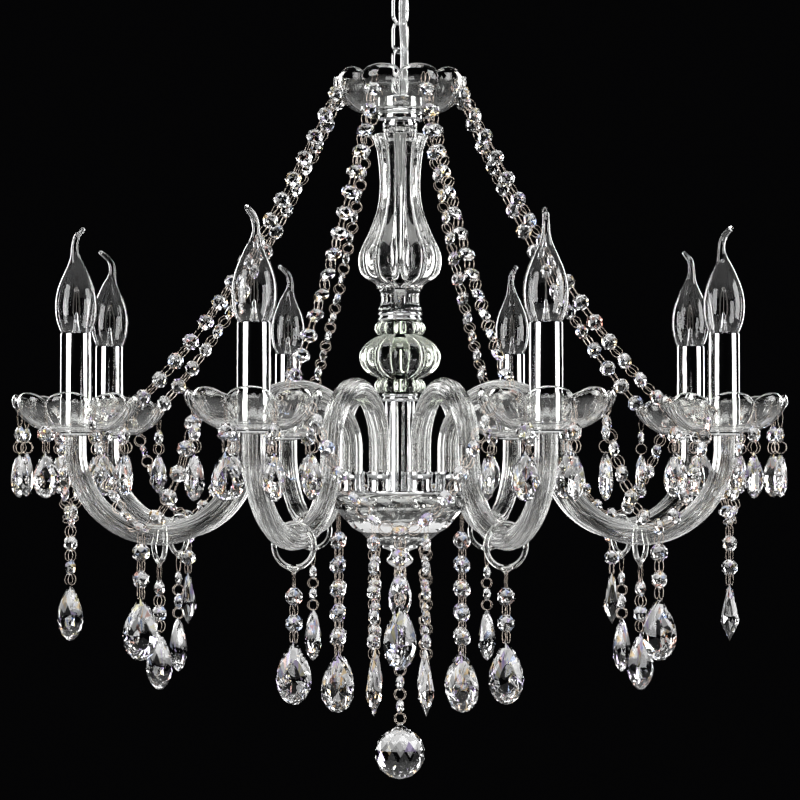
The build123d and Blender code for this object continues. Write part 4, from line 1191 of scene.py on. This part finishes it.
# ------------------------------------------------------------------ stones
class Stones:
    """The cut shapes that the strands are made of, each with its hole or top at its own end."""

    def __init__(self) -> None:
        turn = round_turns(8) + math.pi / 8
        rim = 7.3 * MM * np.c_[np.cos(turn), np.sin(turn)]
        self.octagon = cut_stone(rim, 0.0, 3.4 * MM, [(0.64, 0.66)])
        self.pear = self.drop(49.5 * MM, 28.8 * MM, 6.9 * MM)
        self.small_pear = self.drop(37.5 * MM, 21.6 * MM, 5.4 * MM)
        self.spear = self.lance(49.5 * MM, 16.8 * MM, 6.4 * MM)
        self.ball = self.sphere(21.9 * MM)
        ring = wire_ring(CLIP_RADIUS, 0.36 * MM)
        self.clip = joined(*(Form(ring.points + side * 1.9 * MM * ACROSS, ring.faces) for side in (-1, 1)))

    @staticmethod
    def mirrored(side: Array, width: float, length: float) -> Array:
        """Closed outline from its right side, in shares of half its width and of its length."""
        return np.vstack([side, side[-2:0:-1] * [-1, 1]])[::-1] * [width / 2, length]

    def drop(self, length: float, width: float, half: float) -> Form:
        """Pear stone: a pointed head at the origin and a round foot, its rays meeting low in the middle."""
        side = smooth_line([(0.04, 0.0), (0.28, -0.09), (0.53, -0.19), (0.74, -0.31), (0.92, -0.45),
                            (1.0, -0.6), (0.93, -0.76), (0.66, -0.9), (0.3, -0.98), (0.02, -1.0)], 10)
        outline = self.mirrored(side, width, length)
        return cut_stone(outline, -0.62 * length, half, [(0.84, 0.5), (0.5, 0.86)])

    def lance(self, length: float, width: float, half: float) -> Form:
        """Spear stone: narrow shoulders, widest at two thirds, and a point."""
        side = np.array([(0.0, 0.0), (0.34, -0.1), (0.42, -0.2), (0.7, -0.42), (1.0, -0.66), (0.5, -0.85),
                         (0.0, -1.0)])
        return cut_stone(self.mirrored(side, width, length), -0.6 * length, half, [(0.66, 0.72)])

    @staticmethod
    def sphere(radius: float) -> Form:
        """Faceted ball under a short peg at the origin: rows of corners, each half a facet round."""
        around, swings = 12, np.radians([-84, -62, -38, -14, 10, 34, 56])
        peg = [(0.3, -0.25), (0.13, -0.13), (0.1, 0.0)]
        profile = [(math.cos(s), math.sin(s) - 1.22) for s in swings] + peg
        rows = np.stack([radius * polar(r, round_turns(around) + math.pi / around * (n % 2), z)
                         for n, (r, z) in enumerate(profile)])
        last = (len(rows) - 1) * around
        faces = [tuple(range(around - 1, -1, -1)), *facet_rows(rows, slanted=1),
                 tuple(range(last, last + around))]
        return Form(rows.reshape(-1, 3), faces)


@dataclass
class Strands:
    """Collects the stones and rings of many strands that share a body, and makes them as few pieces."""

    stones: Stones
    cut: list[Form] = field(default_factory=list)
    rings: list[Form] = field(default_factory=list)

    def stone(self, form: Form, spot: Array, face: Array, up: Array = UP) -> None:
        """Adds one stone at a spot, its own -Y along the face direction and its Z along up."""
        self.cut.append(form.at(places(spot, -np.cross(up, face), up)))

    def tie(self, start: Array, end: Array, face: Array, slim: float = 1.0) -> None:
        """Adds a double ring through the ends of two neighbouring stones, edge-on to their faces.

        Args:
            start: End of the stone above.
            end: Start of the stone below.
            face: Direction that the stones' faces look in.
            slim: Share of a ring's width, for a hook that is drawn out into a pin.
        """
        run = end - start
        long = (np.linalg.norm(run) / 2 + 1.5 * MM) / CLIP_RADIUS
        clip = self.stones.clip.scaled(min(long, 1.0) * slim, slim, long)
        self.rings.append(clip.at(places(start + run / 2, face, run)))

    def straight(self, hook: Array, hook_length: float, beads: int, drop: Form, face: Array,
                 twist: float = 0.0) -> None:
        """Hangs a straight strand: octagons under a hook, and the drop at the end.

        Args:
            hook: Where the strand hangs from.
            hook_length: Down to the first octagon's edge.
            beads: How many octagons it has.
            drop: The stone at its end.
            face: Direction that the drop's face looks in.
            twist: Turn of the octagons about the strand, from the drop's face.
        """
        bead_face = turned_about_z(face, twist)
        first = hook - UP * (hook_length + BEAD_REACH)
        spots = [first - UP * n * (2 * BEAD_REACH + BEAD_GAP) for n in range(beads)]
        for n, spot in enumerate(spots):
            lean = turned_about_z(bead_face, 0.16 * math.sin(3.1 * n + 40 * hook[0]))
            self.stone(self.stones.octagon, spot, lean)
            self.tie(spot - UP * BEAD_REACH, spot - UP * (BEAD_REACH + BEAD_GAP), bead_face)
        self.tie(hook, first + UP * BEAD_REACH, bead_face, 0.4 if hook_length > 2 * BEAD_GAP else 1.0)
        self.stone(drop, spots[-1] - UP * (BEAD_REACH + BEAD_GAP), face)

    def curved(self, line: Array, odd: bool, roll: float) -> Array:
        """Threads octagons along a hanging line, evenly, with rings between them.

        Args:
            line: Points of the line.
            odd: True to have a stone in the middle.
            roll: Turn of the faces about the line, in radians.

        Returns:
            Where the middle stone is.
        """
        runs = np.linalg.norm(np.diff(line, axis=0), axis=1)
        walked = np.concatenate([[0], np.cumsum(runs)])
        count = round((walked[-1] - BEAD_GAP) / (2 * BEAD_REACH + BEAD_GAP))
        if odd and count % 2 == 0:
            count -= 1
        gap = (walked[-1] - count * 2 * BEAD_REACH) / (count + 1)
        middles = gap + BEAD_REACH + np.arange(count) * (gap + 2 * BEAD_REACH)
        spots, ahead = (np.stack([np.interp(at, walked, line[:, n]) for n in range(3)], -1)
                        for at in (middles, middles + MM))
        ways = unit(ahead - spots)
        sides = unit(np.cross(UP, ways))
        tilts = roll + 0.35 * np.sin(0.9 * np.arange(count) + 31 * line[0, 0])[:, None]
        looks = sides * np.cos(tilts) + np.cross(ways, sides) * np.sin(tilts)
        for spot, way, look in zip(spots, ways, looks):
            self.stone(self.stones.octagon, spot, look, -way)
        ends = np.vstack([line[:1], spots + ways * BEAD_REACH])
        starts = np.vstack([spots - ways * BEAD_REACH, line[-1:]])
        for end, start, look in zip(ends, starts, np.vstack([looks, looks[-1:]])):
            self.tie(end, start, look)
        return spots[count // 2]

    def finish(self, finishes: Finishes, name: str, body: str, nodes: tuple[str, ...],
               ring_nodes: tuple[str, ...] = ()) -> None:
        """Makes the collected stones one piece and the rings another.

        Args:
            finishes: The finishes.
            name: What both names start with.
            body: Body of the frame that carries them.
            nodes: Nodes that the stones stand for.
            ring_nodes: Nodes that the rings stand for.
        """
        piece(joined(*self.cut), name + "_stones", finishes.crystal, body, *nodes, flat=True)
        piece(joined(*self.rings), name + "_rings", finishes.wire, body, *ring_nodes)


def turned_about_z(direction: Array, turn: float) -> Array:
    """A direction turned about the vertical."""
    c, s = math.cos(turn), math.sin(turn)
    return np.array([c * direction[0] - s * direction[1], s * direction[0] + c * direction[1], direction[2]])


def facing(phase: float, spread: float = math.radians(38)) -> Array:
    """Direction in which a hung stone has come to rest: the front, off by the sine of its own phase."""
    return polar(1, spread * math.sin(phase) - math.pi / 2, 0)


def hanging_line(start: Array, end: Array, sag: float) -> Array:
    """Points of a strand between two hooks: the straight line less 4 * sag * t * (1 - t)."""
    t = np.linspace(0, 1, 241)[:, None]
    return start + (end - start) * t - UP * 4 * sag * t * (1 - t)


# ------------------------------------------------------------------ strands
@dataclass
class HangingCrystals(SubAssembly):
    """Every strand: arm pendants, hub strands, the ball, garlands, swags and the pans' pendants."""

    stones: Stones = field(default_factory=Stones)
    ring_mean: float = 17.25 * MM
    ring_bar: float = 2.25 * MM
    hub_strand_r: float = 57.9 * MM
    hub_hook: float = 15 * MM
    pendant_hook: float = 14 * MM
    rim_r: float = 46.8 * MM
    eyelet_r: float = 54.4 * MM
    eyelet_drop: float = 10 * MM
    hole_drop: float = 13 * MM    # from the tips of a pan's petals down to its holes
    edge_on: float = 1.35         # radians of turn at which a stone shows its edge
    garland_sag: float = 27 * MM
    swag_sag: float = 94 * MM
    swag_lean: float = math.radians(25)
    swag_eye: float = 6.2 * MM    # from the middle of a swag's lowest stone to its pendant's hook
    spear_swags: tuple[int, ...] = (0, 2, 7)
    notches: tuple[int, ...] = (0, 1, -1, 3, -3)      # of a pan's eight, those with a pendant
    notch_twist: float = math.radians(20)

    def arm_pendants(self) -> None:
        """Hangs a clear pointed ring round each arm, with two octagons and a pear under it."""
        middle = level("arm_drop_1", True) - self.ring_mean - self.ring_bar
        outline = stepped([(-8.2, 2.0), (-4.4, -1.9), (0, -5.4), (4.4, -1.9), (8.2, 2.0), (0, 0.5)], 0)
        tab = cut_stone(outline, -1.4 * MM, 1.9 * MM, [(0.8, 0.8)])
        swing = round_turns(64)[:, None]
        clear = replace(self.finishes.glass, slot=Slot.CRYSTAL)
        for k, turn in enumerate(ARM_TURNS, 1):
            out, across = polar(1, turn, 0), polar(1, turn + math.pi / 2, 0)
            centre = polar(ARM_LOW_CIRCLE, turn, middle)
            path = centre + self.ring_mean * (np.cos(swing) * across + np.sin(swing) * UP)
            ring = joined(tube(path, self.ring_bar * 0.98, 16, loop=True, side=out),
                          tab.at(places(centre - UP * self.ring_mean, across)))
            strands = Strands(self.stones)
            strands.straight(centre - UP * (self.ring_mean + self.ring_bar * 0.7), self.pendant_hook, 2,
                             self.stones.pear, unit(out - 0.8 * ACROSS))
            body = f"arm_pendant_{k}"
            piece(ring, f"hook_ring_{k}", clear, body, f"arm_drop_{k}")
            strands.finish(self.finishes, body, body, ())

    def hub_strands(self) -> None:
        """Hangs a strand from the hub bowl under each arm: five octagons and a spear or a pear."""
        hook_z = level("hub_drop_1", True)
        for k, turn in enumerate(ARM_TURNS):
            front = abs(math.sin(turn)) > abs(math.cos(turn))
            drop, twist = (self.stones.spear, self.edge_on) if front else (self.stones.pear, 0.0)
            strands = Strands(self.stones)
            strands.straight(polar(self.hub_strand_r, turn, hook_z), self.hub_hook, 5, drop,
                             facing(2.3 * k), twist)
            body = f"hub_strand_{k + 1}"
            strands.finish(self.finishes, body, body, (f"hub_drop_{k + 1}",))

    def ball_strand(self) -> None:
        """Hangs six octagons and the faceted ball from the finial."""
        strands = Strands(self.stones)
        strands.straight(UP * level("ball_drop", True), BEAD_GAP, 6, self.stones.ball,
                         polar(1, math.radians(-20), 0))
        strands.finish(self.finishes, "ball_strand", "ball_strand", ("ball_drop",))

    def garlands(self) -> None:
        """Hangs a garland from the top bowl to each pan, those at the front edge-on."""
        strands = Strands(self.stones)
        eyelet_z = level("top_bowl", True) - self.eyelet_drop
        hole_z = level("bobeches", True) - self.hole_drop
        for turn in ARM_TURNS:
            start = polar(self.eyelet_r, turn, eyelet_z)
            end = polar(CANDLE_CIRCLE - self.rim_r, turn, hole_z)
            depth = math.sin(turn)
            roll = self.edge_on if depth < -0.7 else 0.4 if depth > 0.7 else 0.15
            strands.curved(hanging_line(start, end, self.garland_sag), False, roll)
        strands.finish(self.finishes, "garland", Body.FIXTURE, ("garland_crystals",), ("garland_links",))

    def swags(self) -> None:
        """Hangs a swag between neighbouring pans, with a pendant at its lowest stone."""
        strands = Strands(self.stones)
        hole_z = level("bobeches", True) - self.hole_drop
        for k, turn in enumerate(ARM_TURNS):
            ends = []
            for side, at in ((1, turn), (-1, turn + ARM_STEP)):
                heading = at + side * (math.pi / 2 + ARM_STEP / 2 - self.swag_lean)
                ends.append(polar(CANDLE_CIRCLE, at, hole_z) + polar(self.rim_r, heading, 0))
            low = strands.curved(hanging_line(*ends, self.swag_sag), True, 0.9 if k % 3 else 0.0)
            drop = self.stones.spear if k in self.spear_swags else self.stones.pear
            strands.straight(low - UP * self.swag_eye, BEAD_GAP, 2, drop, facing(1.7 * k))
        strands.finish(self.finishes, "swag", Body.FIXTURE, ("swag_crystals", "swag_drops"), ("swag_links",))

    def rim_pendants(self) -> None:
        """Hangs an octagon and a small pear from five notches of each pan."""
        strands = Strands(self.stones)
        hole_z = level("bobeches", True) - self.hole_drop
        for turn in ARM_TURNS:
            for step in self.notches:
                way = turn + step * math.pi / 4
                foot = polar(CANDLE_CIRCLE, turn, hole_z) + polar(self.rim_r, way, 0)
                strands.straight(foot, self.pendant_hook, 1, self.stones.small_pear,
                                 polar(1, way + self.notch_twist, 0))
        strands.finish(self.finishes, "pan_pendants", Body.FIXTURE, ("bobeche_drops",))

    def build(self) -> None:
        """Hangs every strand."""
        self.arm_pendants()
        self.hub_strands()
        self.ball_strand()
        self.garlands()
        self.swags()
        self.rim_pendants()


@dataclass
class CarriedOver(SubAssembly):
    """Nodes of the frame that keep their shape and get a finish."""

    steel: tuple[str, ...] = ("mounting_bracket", "bracket_nuts", "canopy_nipple", "candle_stems")

    def build(self) -> None:
        """Dresses each node that no piece stands for."""
        dressed = {**dict.fromkeys(self.steel, self.finishes.steel),
                   "central_rod": self.finishes.chrome.material,
                   "cord_grip": self.finishes.nylon, "lamp_holders": self.finishes.holder}
        for node, material in dressed.items():
            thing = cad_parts[node]
            thing.data.materials.clear()
            thing.data.materials.append(material)
            log.info("%s: dressed", node)


def main() -> None:
    """Builds the set, then the chandelier from the ceiling down."""
    logging.basicConfig(level=logging.INFO, format="%(message)s")
    Studio().build()
    finishes = Finishes()
    for made in (SupplyCable, CeilingFixing, Chain, Column, Hub, Arms, Candles, HangingCrystals, CarriedOver):
        made(finishes).build()


if __name__ == "__main__":
    main()
